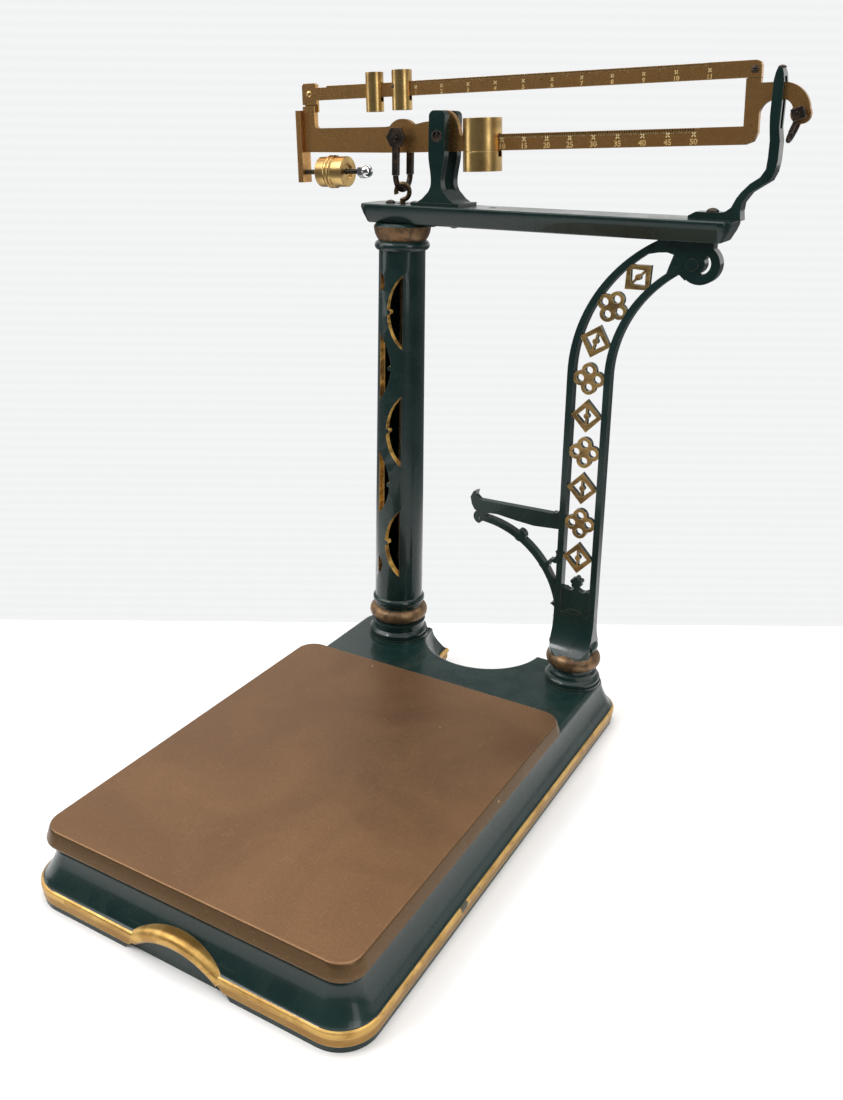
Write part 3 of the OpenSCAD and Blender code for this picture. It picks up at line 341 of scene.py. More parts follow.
def platformBronze():
    made, tree, shader, where = newFinish("platformBronze")
    skin = useGroup(tree, castSkin, {"Vector": where, "Grain": 0.75 * mm})
    wearAndHighlight = useGroup(tree, edgeWearAndHighlight, {"Vector": where, "Reach": 1.2 * mm, "Amount": 0.62, "Patch": 6 * mm})
    scratch = useGroup(tree, fineScratches, {"Vector": where, "Length": 30 * mm, "Amount": 0.28})
    dots = useGroup(tree, speckle, {"Vector": where, "Spacing": 27 * mm, "Radius": 0.055})
    flecks = useGroup(tree, speckle, {"Vector": where, "Spacing": 3.0 * mm, "Radius": 0.24})
    cloud = noise(tree, where, 120, 4.0, 0.6, 0.8)
    tone = mixColour(tree, ramp(tree, cloud, 0.3, 0.7), bronzeLook["dark"], bronzeLook["warm"])
    facing = tree.nodes.new("ShaderNodeNewGeometry").outputs["Normal"]
    up = addNode(tree, "ShaderNodeSeparateXYZ", {0: facing}).outputs["Z"]
    # Painted shade: bronzeLook side darkens the faces that slope away from straight up
    sideShaded = mixColour(tree, ramp(tree, up, 0.86, 0.62), tone, bronzeLook["side"])
    grained = mixColour(tree, maths(tree, "MULTIPLY", skin["Grain"], 0.26), sideShaded, bronzeLook["grain"])
    flecked = mixColour(tree, maths(tree, "MULTIPLY", flecks["Mask"], 0.35), grained, bronzeLook["fleck"])
    # Painted highlight: bronzeLook edge puts a pale line along every edge
    edgeHighlighted = mixColour(tree, maths(tree, "MULTIPLY", wearAndHighlight["EdgeHighlight"], 2.2, True), flecked, bronzeLook["edge"])
    marks = maths(tree, "MAXIMUM", scratch["Mask"], maths(tree, "MAXIMUM", dots["Mask"], wearAndHighlight["Mask"]))
    marked = mixColour(tree, maths(tree, "MULTIPLY", marks, 0.8), edgeHighlighted, bronzeLook["spot"])
    setMany(tree, shader, {"Base Color": marked, "Metallic": ramp(tree, skin["Grain"], 0, 1, 0.70, 0.82),
            "Roughness": ramp(tree, cloud, 0.3, 0.7, 0.34, 0.42), "IOR": 1.40})
    sunk = maths(tree, "MULTIPLY", marks, 0.4)
    setBump(tree, shader, maths(tree, "SUBTRACT", skin["Height"], sunk), 0.20, 0.75)
    return made


copperLook = {"light": (0.235, 0.138, 0.064, 1), "dark": (0.085, 0.050, 0.026, 1), "under": (0.016, 0.030, 0.025, 1),
              "edge": (0.50, 0.30, 0.13, 1)}


def copperPaint():
    made, tree, shader, where = newFinish("copperPaint")
    skin = useGroup(tree, castSkin, {"Vector": where, "Grain": 0.8 * mm})
    wearAndHighlight = useGroup(tree, edgeWearAndHighlight, {"Vector": where, "Reach": 0.9 * mm, "Amount": 0.45, "Patch": 4 * mm})
    chips = useGroup(tree, speckle, {"Vector": where, "Spacing": 7 * mm, "Radius": 0.14})
    cloud = noise(tree, where, 15, 5.0, 0.7, 0.7)
    tone = mixColour(tree, ramp(tree, cloud, 0.36, 0.62), copperLook["dark"], copperLook["light"])
    # Painted highlight: copperLook edge puts a pale copper line along every edge
    edged = mixColour(tree, maths(tree, "MULTIPLY", wearAndHighlight["EdgeHighlight"], 0.5), tone, copperLook["edge"])
    gone = maths(tree, "MAXIMUM", chips["Mask"], ramp(tree, cloud, 0.70, 0.74))
    shown = mixColour(tree, gone, edged, copperLook["under"])
    setMany(tree, shader, {"Base Color": shown, "Metallic": ramp(tree, gone, 0, 1, 0.6, 0.05),
            "Roughness": ramp(tree, skin["Blotch"], 0, 1, 0.34, 0.50)})
    setBump(tree, shader, skin["Height"], 0.25, 0.7)
    return made


brassLook = {"clean": (0.72, 0.405, 0.150, 1), "aged": (0.46, 0.235, 0.080, 1), "stain": (0.095, 0.050, 0.023, 1),
             "edge": (0.78, 0.58, 0.28, 1), "dust": (0.06, 0.038, 0.018, 1), "scratch": (0.62, 0.45, 0.20, 1)}


def beamBrass(name="beamBrass", clean=brassLook["clean"], aged=brassLook["aged"], gloss=0.30):
    made, tree, shader, where = newFinish(name)
    along = stretched(tree, where, (0.03, 1, 1), (0, place["tilt"], 0))
    drawn = useGroup(tree, toolLines, {"Vector": along, "Pitch": 0.5 * mm})
    wearAndHighlight = useGroup(tree, edgeWearAndHighlight, {"Vector": where, "Reach": 0.9 * mm, "Amount": 0.5, "Patch": 5 * mm})
    chips = useGroup(tree, speckle, {"Vector": where, "Spacing": 6 * mm, "Radius": 0.15})
    scratch = useGroup(tree, fineScratches, {"Vector": where, "Length": 9 * mm, "Amount": 0.6})
    dust = useGroup(tree, settledDust, {"Vector": where, "Amount": 0.35})
    cloud = noise(tree, where, 26, 5.0, 0.65, 0.6)
    fine = noise(tree, where, 2.6, 4.0, 0.7)
    tone = mixColour(tree, ramp(tree, cloud, 0.32, 0.66), aged, clean)
    spots = maths(tree, "MULTIPLY", ramp(tree, fine, 0.45, 0.75), 0.3)
    mottled = mixColour(tree, spots, tone, darker(aged, 0.8))
    # Painted highlight: brassLook edge puts a pale brass line along every edge
    edged = mixColour(tree, maths(tree, "MULTIPLY", wearAndHighlight["EdgeHighlight"], 0.8), mottled, brassLook["edge"])
    spotted = mixColour(tree, maths(tree, "MULTIPLY", chips["Mask"], 0.6), edged, brassLook["stain"])
    dusty = mixColour(tree, dust["Mask"], spotted, brassLook["dust"])
    lit = mixColour(tree, scratch["Mask"], dusty, brassLook["scratch"])
    rough = maths(tree, "ADD", ramp(tree, cloud, 0.3, 0.7, gloss + 0.06, gloss - 0.08),
                  maths(tree, "MULTIPLY", dust["Mask"], 0.3))
    setMany(tree, shader, {"Base Color": lit, "Metallic": 0.92, "Roughness": rough})
    setBump(tree, shader, maths(tree, "ADD", drawn["Height"], maths(tree, "MULTIPLY", fine, 0.6)), 0.03, 0.5)
    return made


poiseLook = {"dark": (0.34, 0.212, 0.082, 1), "bright": (0.65, 0.445, 0.172, 1), "edge": (0.78, 0.60, 0.30, 1),
             "chip": (0.16, 0.09, 0.04, 1), "scratch": (0.80, 0.64, 0.34, 1)}


def poiseBrass(name, stretch):
    made, tree, shader, where = newFinish(name)
    rings = stretched(tree, where, stretch, (0, place["tilt"], 0))
    turned = useGroup(tree, toolLines, {"Vector": rings, "Pitch": 0.35 * mm})
    wearAndHighlight = useGroup(tree, edgeWearAndHighlight, {"Vector": where, "Reach": 0.7 * mm, "Amount": 0.5, "Patch": 4 * mm})
    chips = useGroup(tree, speckle, {"Vector": where, "Spacing": 9 * mm, "Radius": 0.07})
    scratch = useGroup(tree, fineScratches, {"Vector": where, "Length": 8 * mm, "Amount": 0.4})
    cloud = noise(tree, where, 24, 3.0, 0.5, 0.5)
    tone = mixColour(tree, ramp(tree, cloud, 0.30, 0.68), poiseLook["dark"], poiseLook["bright"])
    # Painted highlight: poiseLook edge puts a pale brass line along every edge
    edged = mixColour(tree, maths(tree, "MULTIPLY", wearAndHighlight["EdgeHighlight"], 0.6), tone, poiseLook["edge"])
    spotted = mixColour(tree, maths(tree, "MULTIPLY", chips["Mask"], 0.6), edged, poiseLook["chip"])
    lit = mixColour(tree, maths(tree, "MULTIPLY", scratch["Mask"], 0.6), spotted, poiseLook["scratch"])
    setMany(tree, shader, {"Base Color": lit, "Metallic": 0.97,
            "Roughness": ramp(tree, cloud, 0.3, 0.7, 0.36, 0.27)})
    setBump(tree, shader, turned["Height"], 0.008, 0.3)
    return made


steelLook = {"edge": (0.34, 0.30, 0.25, 1), "plate": (0.74, 0.75, 0.77, 1), "plateDull": (0.42, 0.40, 0.36, 1)}


def agedSteel(name, dark, rust, gloss, metal=0.85, patch=9, depth=0.12):
    made, tree, shader, where = newFinish(name)
    skin = useGroup(tree, castSkin, {"Vector": where, "Grain": 0.6 * mm})
    wearAndHighlight = useGroup(tree, edgeWearAndHighlight, {"Vector": where, "Reach": 0.6 * mm, "Amount": 0.55, "Patch": 2.5 * mm})
    cloud = noise(tree, where, patch, 6.0, 0.72, 0.4)
    tone = mixColour(tree, ramp(tree, cloud, 0.42, 0.66), dark, rust)
    grained = mixColour(tree, maths(tree, "MULTIPLY", skin["Grain"], 0.4), tone, darker(dark, 0.5))
    edged = mixColour(tree, maths(tree, "MULTIPLY", wearAndHighlight["Mask"], 0.8), grained, steelLook["edge"])
    setMany(tree, shader, {"Base Color": edged, "Metallic": metal,
            "Roughness": ramp(tree, cloud, 0.35, 0.7, gloss, gloss + 0.22)})
    setBump(tree, shader, skin["Height"], depth, 0.8)
    return made


def brightPlate():
    made, tree, shader, where = newFinish("brightPlate")
    cloud = noise(tree, where, 3, 4.0, 0.6)
    scratch = useGroup(tree, fineScratches, {"Vector": where, "Length": 5 * mm, "Amount": 0.5})
    tone = mixColour(tree, ramp(tree, cloud, 0.5, 0.75), steelLook["plate"], steelLook["plateDull"])
    rough = maths(tree, "ADD", ramp(tree, cloud, 0.4, 0.7, 0.07, 0.16), maths(tree, "MULTIPLY", scratch["Mask"], 0.2))
    setMany(tree, shader, {"Base Color": tone, "Metallic": 1.0, "Roughness": rough})
    setBump(tree, shader, cloud, 0.02, 0.4)
    return made


def stampFill(name, bright, dull):
    made, tree, shader, where = newFinish(name)
    fine = noise(tree, where, 0.7, 4.0, 0.7)
    tone = mixColour(tree, ramp(tree, fine, 0.42, 0.62), bright, dull)
    setMany(tree, shader, {"Base Color": tone, "Metallic": 0.25, "Roughness": ramp(tree, fine, 0.3, 0.7, 0.3, 0.5)})
    setBump(tree, shader, fine, 0.03, 0.6)
    return made


finish = {
    "enamel": greenEnamel(),
    "bandGilt": wornGilt("bandGilt", 0.42, giltLook["bright"], giltLook["deep"], 0.78, giltLook["topAt"],
                         giltLook["nick"]),
    "fretGilt": wornGilt("fretGilt", 0.5, (0.43, 0.275, 0.100, 1), (0.17, 0.105, 0.040, 1), 0.62),
    # Gilt on the inner walls of the column's openings, much brighter and less metallic than the band's: painted light
    # on walls that lie in shade
    "innerGiltPaintedLight": wornGilt("openingGiltPaintedLight", 0.3, (1.0, 0.64, 0.17, 1), (0.27, 0.145, 0.045, 1), 0.15),
    "bronze": platformBronze(),
    "copper": copperPaint(),
    "beam": beamBrass(),
    "poise": poiseBrass("poiseBrass", (0.04, 0.04, 1)),
    "weight": poiseBrass("weightBrass", (1, 0.04, 0.04)),
    "steel": agedSteel("darkSteel", (0.040, 0.034, 0.031, 1), (0.085, 0.050, 0.030, 1), 0.34),
    "rod": agedSteel("oiledRod", (0.055, 0.049, 0.044, 1), (0.10, 0.075, 0.05, 1), 0.28, 0.95, 6, 0.06),
    "hook": agedSteel("brassyHook", (0.150, 0.100, 0.050, 1), (0.060, 0.042, 0.028, 1), 0.30, 0.9, 5, 0.08),
    "lever": agedSteel("leverIron", (0.030, 0.024, 0.020, 1), (0.075, 0.038, 0.020, 1), 0.55, 0.55, 14, 0.30),
    "chrome": brightPlate(),
    "stamp": stampFill("stampFill", (0.86, 0.60, 0.25, 1), (0.42, 0.25, 0.09, 1)),
    # The cross and dot fill is the stamped filling, made brighter as a painted highlight for the glints on the marks
    "cross": stampFill("crossFillAndGlint", (1.0, 0.82, 0.44, 1), (0.74, 0.50, 0.20, 1)),
    "pit": stampFill("pitShade", (0.16, 0.09, 0.035, 1), (0.05, 0.028, 0.012, 1)),
    "brassScrew": beamBrass("screwBrass", (0.80, 0.54, 0.22, 1), (0.42, 0.24, 0.09, 1), 0.2),
}
print("finishes ready:", len(finish))


# Mesh helpers

def addObject(name, mesh):
    made = bpy.data.objects.new(name, mesh)
    bpy.context.scene.collection.objects.link(made)
    return made


# Takes the modifiers' result as the object's own mesh

def settled(obj):
    graph = bpy.context.evaluated_depsgraph_get()
    mesh = bpy.data.meshes.new_from_object(obj.evaluated_get(graph))
    obj.modifiers.clear()
    obj.data = mesh


# New edges all round a shape, where a plane through a place meets it

def cutAcross(shape, at, along):
    bmesh.ops.bisect_plane(shape, geom=shape.verts[:] + shape.edges[:] + shape.faces[:], dist=0.01 * mm,
                           plane_co=at, plane_no=along)


# Copy of a CAD mesh with flat faces joined, and with edges where a paint border runs

def cleanCopy(node, name, borders=(), flat=0.5):
    mesh = frame["nodes"][node].data.copy()
    mesh.materials.clear()
    shape = bmesh.new()
    shape.from_mesh(mesh)
    bmesh.ops.remove_doubles(shape, verts=shape.verts, dist=0.002 * mm)
    if flat:
        bmesh.ops.dissolve_limit(shape, angle_limit=math.radians(flat), verts=shape.verts, edges=shape.edges)
    for height in borders:
        cutAcross(shape, (0, 0, height * mm), (0, 0, 1))
    for face in shape.faces:
        face.smooth = True
    shape.to_mesh(mesh)
    shape.free()
    return addObject(name, mesh)


edgeLook = {"bevelFrom": 32, "sharpFrom": 34}  # degrees between faces


# Copy of a CAD node with rounded edges and its finishes; rule gives a face's finish by its middle and normal,
# and turn shapes the mesh once its edges are round

def dress(node, edge, finishes, segments=2, rule=None, borders=(), flat=0.5, turn=None):
    made = cleanCopy(node, node + "_skin", borders, flat)
    for title in finishes:
        made.data.materials.append(finish[title])
    if rule:
        for face in made.data.polygons:
            face.material_index = rule(face.center / mm, face.normal)
    bevel = made.modifiers.new("edge", "BEVEL")
    bevel.width = edge * mm
    bevel.segments = segments
    bevel.limit_method = "ANGLE"
    bevel.angle_limit = math.radians(edgeLook["bevelFrom"])
    bevel.use_clamp_overlap = True
    bevel.miter_outer = "MITER_ARC"
    settled(made)
    if turn:
        turn(made.data)
    made.data.set_sharp_from_angle(angle=math.radians(edgeLook["sharpFrom"]))
    even = made.modifiers.new("even", "WEIGHTED_NORMAL")
    even.mode = "FACE_AREA"
    even.keep_sharp = True
    settled(made)
    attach(made, frame["nodes"][node]["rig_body"])
    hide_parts(node)


# Cast pieces

baseShape = {"inX": 115, "inY": 210.4, "band": (4.6, 16.45), "bandCuts": (4.6, 16.4), "bandReach": 27.6,
             "rear": (45.5, 47.8), "frontY": -226.9, "archZ": -38, "archR": 62, "archY": -235.3, "archTube": 5.5,
             "archLow": 8, "near": 0.35}


def within(value, limits):
    return limits[0] < value < limits[1]


# Gilt on the arch over the finger recess, on the band round the base, and on the band in the cut-out

def baseRule(c, n):
    look = baseShape
    x, y = c.x - place["midX"], c.y
    toArch = Vector((x, 0, c.z - look["archZ"]))
    tube = toArch.normalized() * (toArch.length - look["archR"]) + Vector((0, min(y - look["archY"], 0), 0))
    onTube = abs(tube.length - look["archTube"]) < look["near"] and tube.normalized().dot(n) > 0.9
    if y < look["frontY"] and c.z > look["archLow"] and onTube and toArch.normalized().dot(n) > -0.75:
        return 1
    reach = math.hypot(max(abs(x) - look["inX"], 0), max(abs(y) - look["inY"], 0))
    rear = math.hypot(x, y - place["cutoutY"])
    outside = reach > look["bandReach"] or within(rear, look["rear"])
    return 1 if within(c.z, look["band"]) and outside else 0


dress("base", 0.7, ["enamel", "bandGilt"], rule=baseRule, borders=baseShape["bandCuts"])
dress("platform", 0.6, ["bronze"], segments=3)
print("base and platform ready")


columnShape = {"collar": (61.2, 75.6), "collarIn": 23.4, "cap": (444.95, 457.8), "capIn": 20,
               "pierced": (92, 426.5), "wall": (15, 24)}
bracketShape = {"fretY": 198, "fretLow": 151, "fretNear": 0.3, "beadAt": 17.6, "beadZ": 67, "beadR": 7.75,
                "beadNear": 0.2, "beadIn": 17}


def columnRule(c, n):
    look = columnShape
    radial = Vector((c.x - place["columnX"], c.y - place["postY"], 0))
    out = radial.normalized().dot(n) if radial.length > 1 else 0
    if within(c.z, look["collar"]) and radial.length > look["collarIn"]:
        return 2
    if within(c.z, look["cap"]) and radial.length > look["capIn"]:
        return 2
    if within(c.z, look["pierced"]) and within(radial.length, look["wall"]) and abs(out) < 0.9 and abs(n.z) < 0.999:
        return 1
    return 0


def bracketRule(c, n):
    look = bracketShape
    radial = math.hypot(c.x - place["bracketX"], c.y - place["postY"])
    if n.y < -0.9 and abs(c.y - look["fretY"]) < look["fretNear"] and c.z > look["fretLow"]:
        return 1
    toBead = math.hypot(radial - look["beadAt"], c.z - look["beadZ"])
    return 2 if abs(toBead - look["beadR"]) < look["beadNear"] and radial > look["beadIn"] else 0


dress("column", 0.45, ["enamel", "innerGiltPaintedLight", "copper"], rule=columnRule,
      borders=columnShape["collar"] + columnShape["cap"])
dress("bracket", 0.6, ["enamel", "fretGilt", "copper"], rule=bracketRule, flat=0)
dress("shelf", 0.5, ["enamel"])
dress("fulcrum_stand", 0.9, ["enamel"], segments=3)
dress("trig_stand", 0.9, ["enamel"], segments=3)
print("posts, shelf and stands ready")


# Brass and steel pieces

weightShape = {"from": -124, "to": -116, "pitch": 4, "cuts": 32, "deep": 1.15, "crest": 15.3}


# Turns two beads out of the raised band of the balance weight

def turnBeads(mesh):
    look = weightShape
    shape = bmesh.new()
    shape.from_mesh(mesh)
    for i in range(look["cuts"] + 1):
        u = look["from"] + (look["to"] - look["from"]) * i / look["cuts"]
        cutAcross(shape, beamPoint(u, 0, 0) * mm, beamFrame.to_3x3().col[0])
    into = beamFrame.inverted()
    spots = [into @ (vert.co / mm) for vert in shape.verts]
    midW = (min(spot.z for spot in spots) + max(spot.z for spot in spots)) / 2
    band = (look["from"] - 0.05, look["to"] + 0.05)
    for vert, spot in zip(shape.verts, spots):
        radius = math.hypot(spot.y, spot.z - midW)
        wave = math.sqrt(abs(math.sin(math.pi * (spot.x - look["from"]) / look["pitch"])))
        wanted = look["crest"] - look["deep"] * (1 - wave)
        if within(spot.x, band) and radius > wanted and radius > look["crest"] - look["deep"]:
            vert.co = beamPoint(spot.x, spot.y * wanted / radius, midW + (spot.z - midW) * wanted / radius) * mm
    shape.to_mesh(mesh)
    shape.free()


dress("beam", 0.35, ["beam"])
dress("upper_bar", 0.25, ["beam"])
dress("hanger_plate", 0.4, ["beam"])
dress("large_poise", 2.2, ["poise"], segments=5)
dress("tare_poise", 0.8, ["poise"], segments=3)
dress("fine_poise", 0.8, ["poise"], segments=3)
dress("balance_weight", 0.7, ["weight"], segments=3, turn=turnBeads)
dress("acorn_nut", 0.25, ["chrome"])
dress("bar_screws", 0.15, ["brassScrew", "steel"], rule=lambda c, n: 1 if c.x > place["midX"] else 0)
for node, edge, title in (
        ("load_clevis", 0.4, "steel"), ("steelyard_rod", 0.3, "hook"), ("counterpoise_loop", 0.3, "steel"),
        ("nose_pivot", 0.25, "steel"), ("nose_nut", 0.3, "steel"), ("load_pivot", 0.15, "steel"),
        ("fulcrum_pivot", 0.15, "steel"), ("fulcrum_bearings", 0.2, "steel"), ("hanger_screw", 0.15, "steel"),
        ("poise_screw", 0.1, "steel"), ("shelf_screws", 0.2, "steel"), ("stand_screws", 0.2, "steel"),
        ("trig_screw", 0.25, "steel"), ("trig_knob", 0.2, "steel"), ("foot_bolts", 0.3, "steel"),
        ("long_lever", 0.6, "lever"), ("short_lever", 0.6, "lever"), ("base_bearings", 0.3, "steel"),
        ("platform_bearings", 0.3, "steel")):
    dress(node, edge, [title])
# These bear on each other with little room, so their shape is kept whole
for node, title in (("lever_link", "lever"), ("long_lever_pivots", "steel"), ("short_lever_pivots", "steel")):
    dress(node, 0.05, [title], flat=0)
print("brass and steel pieces ready")


# Numbers and marks on the beams

markLook = {"proud": 0.03, "thick": 0.05, "bold": 0.13, "front": -3.0, "fill": ("stamp", "cross", "pit")}

# Each bar: numbers from first on, by step, and rows of marks with so many marks to each number
lowerLook = {"name": "lower_bar_marks", "node": "beam", "first": 36.1, "pitch": 20.6, "count": 10, "step": 5,
             "number": -10.2, "size": 6.3, "rows": (
                 {"per": 1, "after": 0, "w": -4.5, "length": 4.7, "width": 0.9, "turn": 0.85, "fill": "cross"},
                 {"per": 10, "after": 0, "w": -2.7, "length": 1.05, "width": 1.05, "turn": 0.4, "fill": "cross"},
                 {"per": 10, "after": -0.5, "w": -1.0, "length": 2.2, "width": 0.7, "turn": 1.5, "fill": "pit"})}
upperLook = {"name": "upper_bar_marks", "node": "upper_bar", "first": -27.4, "pitch": 25.88, "count": 11, "step": 1,
             "number": 37.6, "size": 4.914, "rows": (
                 {"per": 1, "after": 0, "w": 42.4, "length": 3.4, "width": 0.7, "turn": 0.85, "fill": "cross"},
                 {"per": 1, "after": 12.94, "w": 44.4, "length": 1.1, "width": 1.1, "turn": 0.4, "fill": "cross",
                  "fewer": 1},
                 {"per": 16, "after": 0, "w": 46.0, "length": 0.6, "width": 0.6, "turn": 0.4, "fill": "cross"},
                 {"per": 16, "after": -0.4, "w": 47.1, "length": 1.3, "width": 0.5, "turn": 1.5, "fill": "pit"})}


def textMesh(words, size):
    curve = bpy.data.curves.new("digits", "FONT")
    curve.body = words
    curve.size = size
    curve.align_x = "CENTER"
    curve.align_y = "CENTER"
    curve.extrude = markLook["thick"] / 2
    curve.offset = markLook["bold"]
    curve.resolution_u = 3
    holder = addObject("digits", curve)
    graph = bpy.context.evaluated_depsgraph_get()
    mesh = bpy.data.meshes.new_from_object(holder.evaluated_get(graph))
    bpy.data.objects.remove(holder)
    return mesh


# Lays a flat mark on the front of a bar, in mm

def barMatrix(u, w):
    lay = Matrix(((1, 0, 0, u), (0, 0, -1, markLook["front"] - markLook["proud"] + markLook["thick"] / 2),
                  (0, 1, 0, w), (0, 0, 0, 1)))
    return beamFrame @ lay


# Row of punched marks, each of two strokes that cross at twice the angle Turn

def buildMarkRow():
    tree, source, result = newGrowth("markRow", [("Count", "NodeSocketInt", 10), ("Pitch", "NodeSocketFloat", 20.0),
        ("Length", "NodeSocketFloat", 3.0), ("Width", "NodeSocketFloat", 0.4), ("Thick", "NodeSocketFloat", 0.05),
        ("Turn", "NodeSocketFloat", 0.9), ("Finish", "NodeSocketMaterial", None)])
    step = addNode(tree, "ShaderNodeCombineXYZ", {"X": source["Pitch"]})
    line = addNode(tree, "GeometryNodeMeshLine", {"Count": source["Count"], "Offset": step.outputs[0]}, mode="OFFSET")
    size = addNode(tree, "ShaderNodeCombineXYZ", {"X": source["Length"], "Y": source["Width"], "Z": source["Thick"]})
    stroke = addNode(tree, "GeometryNodeMeshCube", {"Size": size.outputs[0]})
    joined = tree.nodes.new("GeometryNodeJoinGeometry")
    for way in (1, -1):
        angle = addNode(tree, "ShaderNodeCombineXYZ", {"Z": maths(tree, "MULTIPLY", source["Turn"], way)})
        spin = addNode(tree, "FunctionNodeEulerToRotation", {0: angle.outputs[0]})
        placed = addNode(tree, "GeometryNodeInstanceOnPoints", {"Points": line.outputs[0],
                         "Instance": stroke.outputs[0], "Rotation": spin.outputs[0]})
        tree.links.new(placed.outputs[0], joined.inputs[0])
    return endGrowth(tree, source, result, joined.outputs[0])


# Ridge that winds round a rod along Z

def buildThread():
    tree, source, result = newGrowth("thread", [("Radius", "NodeSocketFloat", 0.002),
        ("Depth", "NodeSocketFloat", 0.0003), ("Pitch", "NodeSocketFloat", 0.0008),
        ("Length", "NodeSocketFloat", 0.05), ("Finish", "NodeSocketMaterial", None)])
    turns = maths(tree, "DIVIDE", source["Length"], source["Pitch"])
    path = addNode(tree, "GeometryNodeCurveSpiral", {"Resolution": 24, "Rotations": turns,
                   "Start Radius": source["Radius"], "End Radius": source["Radius"], "Height": source["Length"]})
    upright = addNode(tree, "GeometryNodeSetCurveNormal", {0: path.outputs[0]}, mode="Z_UP")
    ridge = addNode(tree, "GeometryNodeCurvePrimitiveCircle", {"Resolution": 3, "Radius": source["Depth"]})
    swept = addNode(tree, "GeometryNodeCurveToMesh", {0: upright.outputs[0], 1: ridge.outputs[0], "Fill Caps": True})
    core = addNode(tree, "GeometryNodeMeshCylinder", {"Vertices": 40, "Radius": source["Radius"],
                   "Depth": source["Length"]})
    lifted = addNode(tree, "ShaderNodeCombineXYZ", {"Z": maths(tree, "MULTIPLY", source["Length"], 0.5)})
    middle = addNode(tree, "GeometryNodeTransform", {"Geometry": core.outputs[0], "Translation": lifted.outputs[0]})
    joined = tree.nodes.new("GeometryNodeJoinGeometry")
    tree.links.new(swept.outputs[0], joined.inputs[0])
    tree.links.new(middle.outputs[0], joined.inputs[0])
    return endGrowth(tree, source, result, joined.outputs[0])


# Runs a geometry tree with its named values and gives the mesh it makes

def grownMesh(name, tree, values):
    holder = addObject(name, bpy.data.meshes.new(name))
    maker = holder.modifiers.new("maker", "NODES")
    maker.node_group = tree
    for item in tree.interface.items_tree:
        if item.name in values:
            maker[item.identifier] = values[item.name]
    settled(holder)
    mesh = holder.data
    bpy.data.objects.remove(holder)
    return mesh


markRow = buildMarkRow()
thread = buildThread()


def addMesh(shape, mesh, matrix, slot=0):
    mesh.transform(matrix)
    first = len(shape.faces)
    shape.from_mesh(mesh)
    shape.faces.ensure_lookup_table()
    for face in shape.faces[first:]:
        face.material_index = slot
    bpy.data.meshes.remove(mesh)


def addRow(shape, look, row):
    mesh = grownMesh("row", markRow, {
        "Count": (look["count"] - 1) * row["per"] + 1 - row.get("fewer", 0), "Pitch": look["pitch"] / row["per"],
        "Length": row["length"], "Width": row["width"], "Thick": markLook["thick"], "Turn": row["turn"],
        "Finish": finish["stamp"]})
    addMesh(shape, mesh, barMatrix(look["first"] + row["after"], row["w"]), markLook["fill"].index(row["fill"]))


def barMarks(look):
    shape = bmesh.new()
    for i in range(look["count"]):
        digits = textMesh(str(look["step"] * (i + 1)), look["size"])
        addMesh(shape, digits, barMatrix(look["first"] + look["pitch"] * i, look["number"]))
    for row in look["rows"]:
        addRow(shape, look, row)
    bmesh.ops.scale(shape, vec=(mm, mm, mm), verts=shape.verts)
    mesh = bpy.data.meshes.new(look["name"])
    shape.to_mesh(mesh)
    shape.free()
    for title in markLook["fill"]:
        mesh.materials.append(finish[title])
    made = addObject(look["name"], mesh)
    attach(made, "balance_beam")


barMarks(lowerLook)
barMarks(upperLook)
print("beam marks ready")


# Rod of the balance weight, threaded over its whole length

rodLook = {"from": -157, "to": -84.5, "w": -29.5, "root": 2.08, "ridge": 0.42, "pitch": 0.9}


def threadedRod():
    look = rodLook
    mesh = grownMesh("balance_rod_skin", thread, {"Radius": look["root"] * mm, "Depth": look["ridge"] * mm,
                     "Pitch": look["pitch"] * mm, "Length": (look["to"] - look["from"]) * mm, "Finish": finish["rod"]})
    start = Matrix.Scale(mm, 4) @ beamFrame @ Matrix.Translation((look["from"], 0, look["w"]))
    mesh.transform(start @ Matrix.Rotation(math.pi / 2, 4, "Y") @ Matrix.Scale(1 / mm, 4))
    made = addObject("balance_rod_skin", mesh)
    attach(made, frame["nodes"]["balance_rod"]["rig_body"])
    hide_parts("balance_rod")


threadedRod()
print("threaded rod ready")


# Stage, light and camera

cameraLook = {"at": (0.3882, -0.6617, 0.5491), "yaw": 30.65, "pitch": 16.95, "roll": 0.46, "lens": 34.65,
              "shiftX": 0.0253, "shiftY": -0.0953}


def buildCamera():
    data = bpy.data.cameras.new("camera")
    data.sensor_fit = "AUTO"
    data.sensor_width = 36
    data.lens = cameraLook["lens"]
    data.shift_x = cameraLook["shiftX"]
    data.shift_y = cameraLook["shiftY"]
    data.clip_start = 0.01
    data.clip_end = 50
    made = addObject("camera", data)
    yaw, pitch = math.radians(cameraLook["yaw"]), math.radians(cameraLook["pitch"])
    ahead = Vector((-math.sin(yaw) * math.cos(pitch), math.cos(yaw) * math.cos(pitch), -math.sin(pitch)))
    made.rotation_mode = "QUATERNION"
    made.rotation_quaternion = ahead.to_track_quat("-Z", "Y") @ Matrix.Rotation(
        math.radians(cameraLook["roll"]), 4, "Z").to_quaternion()
    made.location = cameraLook["at"]
    bpy.context.scene.camera = made


def plainPlane(name, corners):
    mesh = bpy.data.meshes.new(name)
    mesh.from_pydata(corners, [], [(0, 1, 2, 3)])
    return addObject(name, mesh)


# Shader that shows from the front alone, so that views from behind or below see the object

def frontOnly(tree, front):
    clear = tree.nodes.new("ShaderNodeBsdfTransparent")
    rear = tree.nodes.new("ShaderNodeNewGeometry").outputs["Backfacing"]
    both = addNode(tree, "ShaderNodeMixShader", {0: rear, 1: front, 2: clear.outputs[0]})
    addNode(tree, "ShaderNodeOutputMaterial", {"Surface": both.outputs[0]})


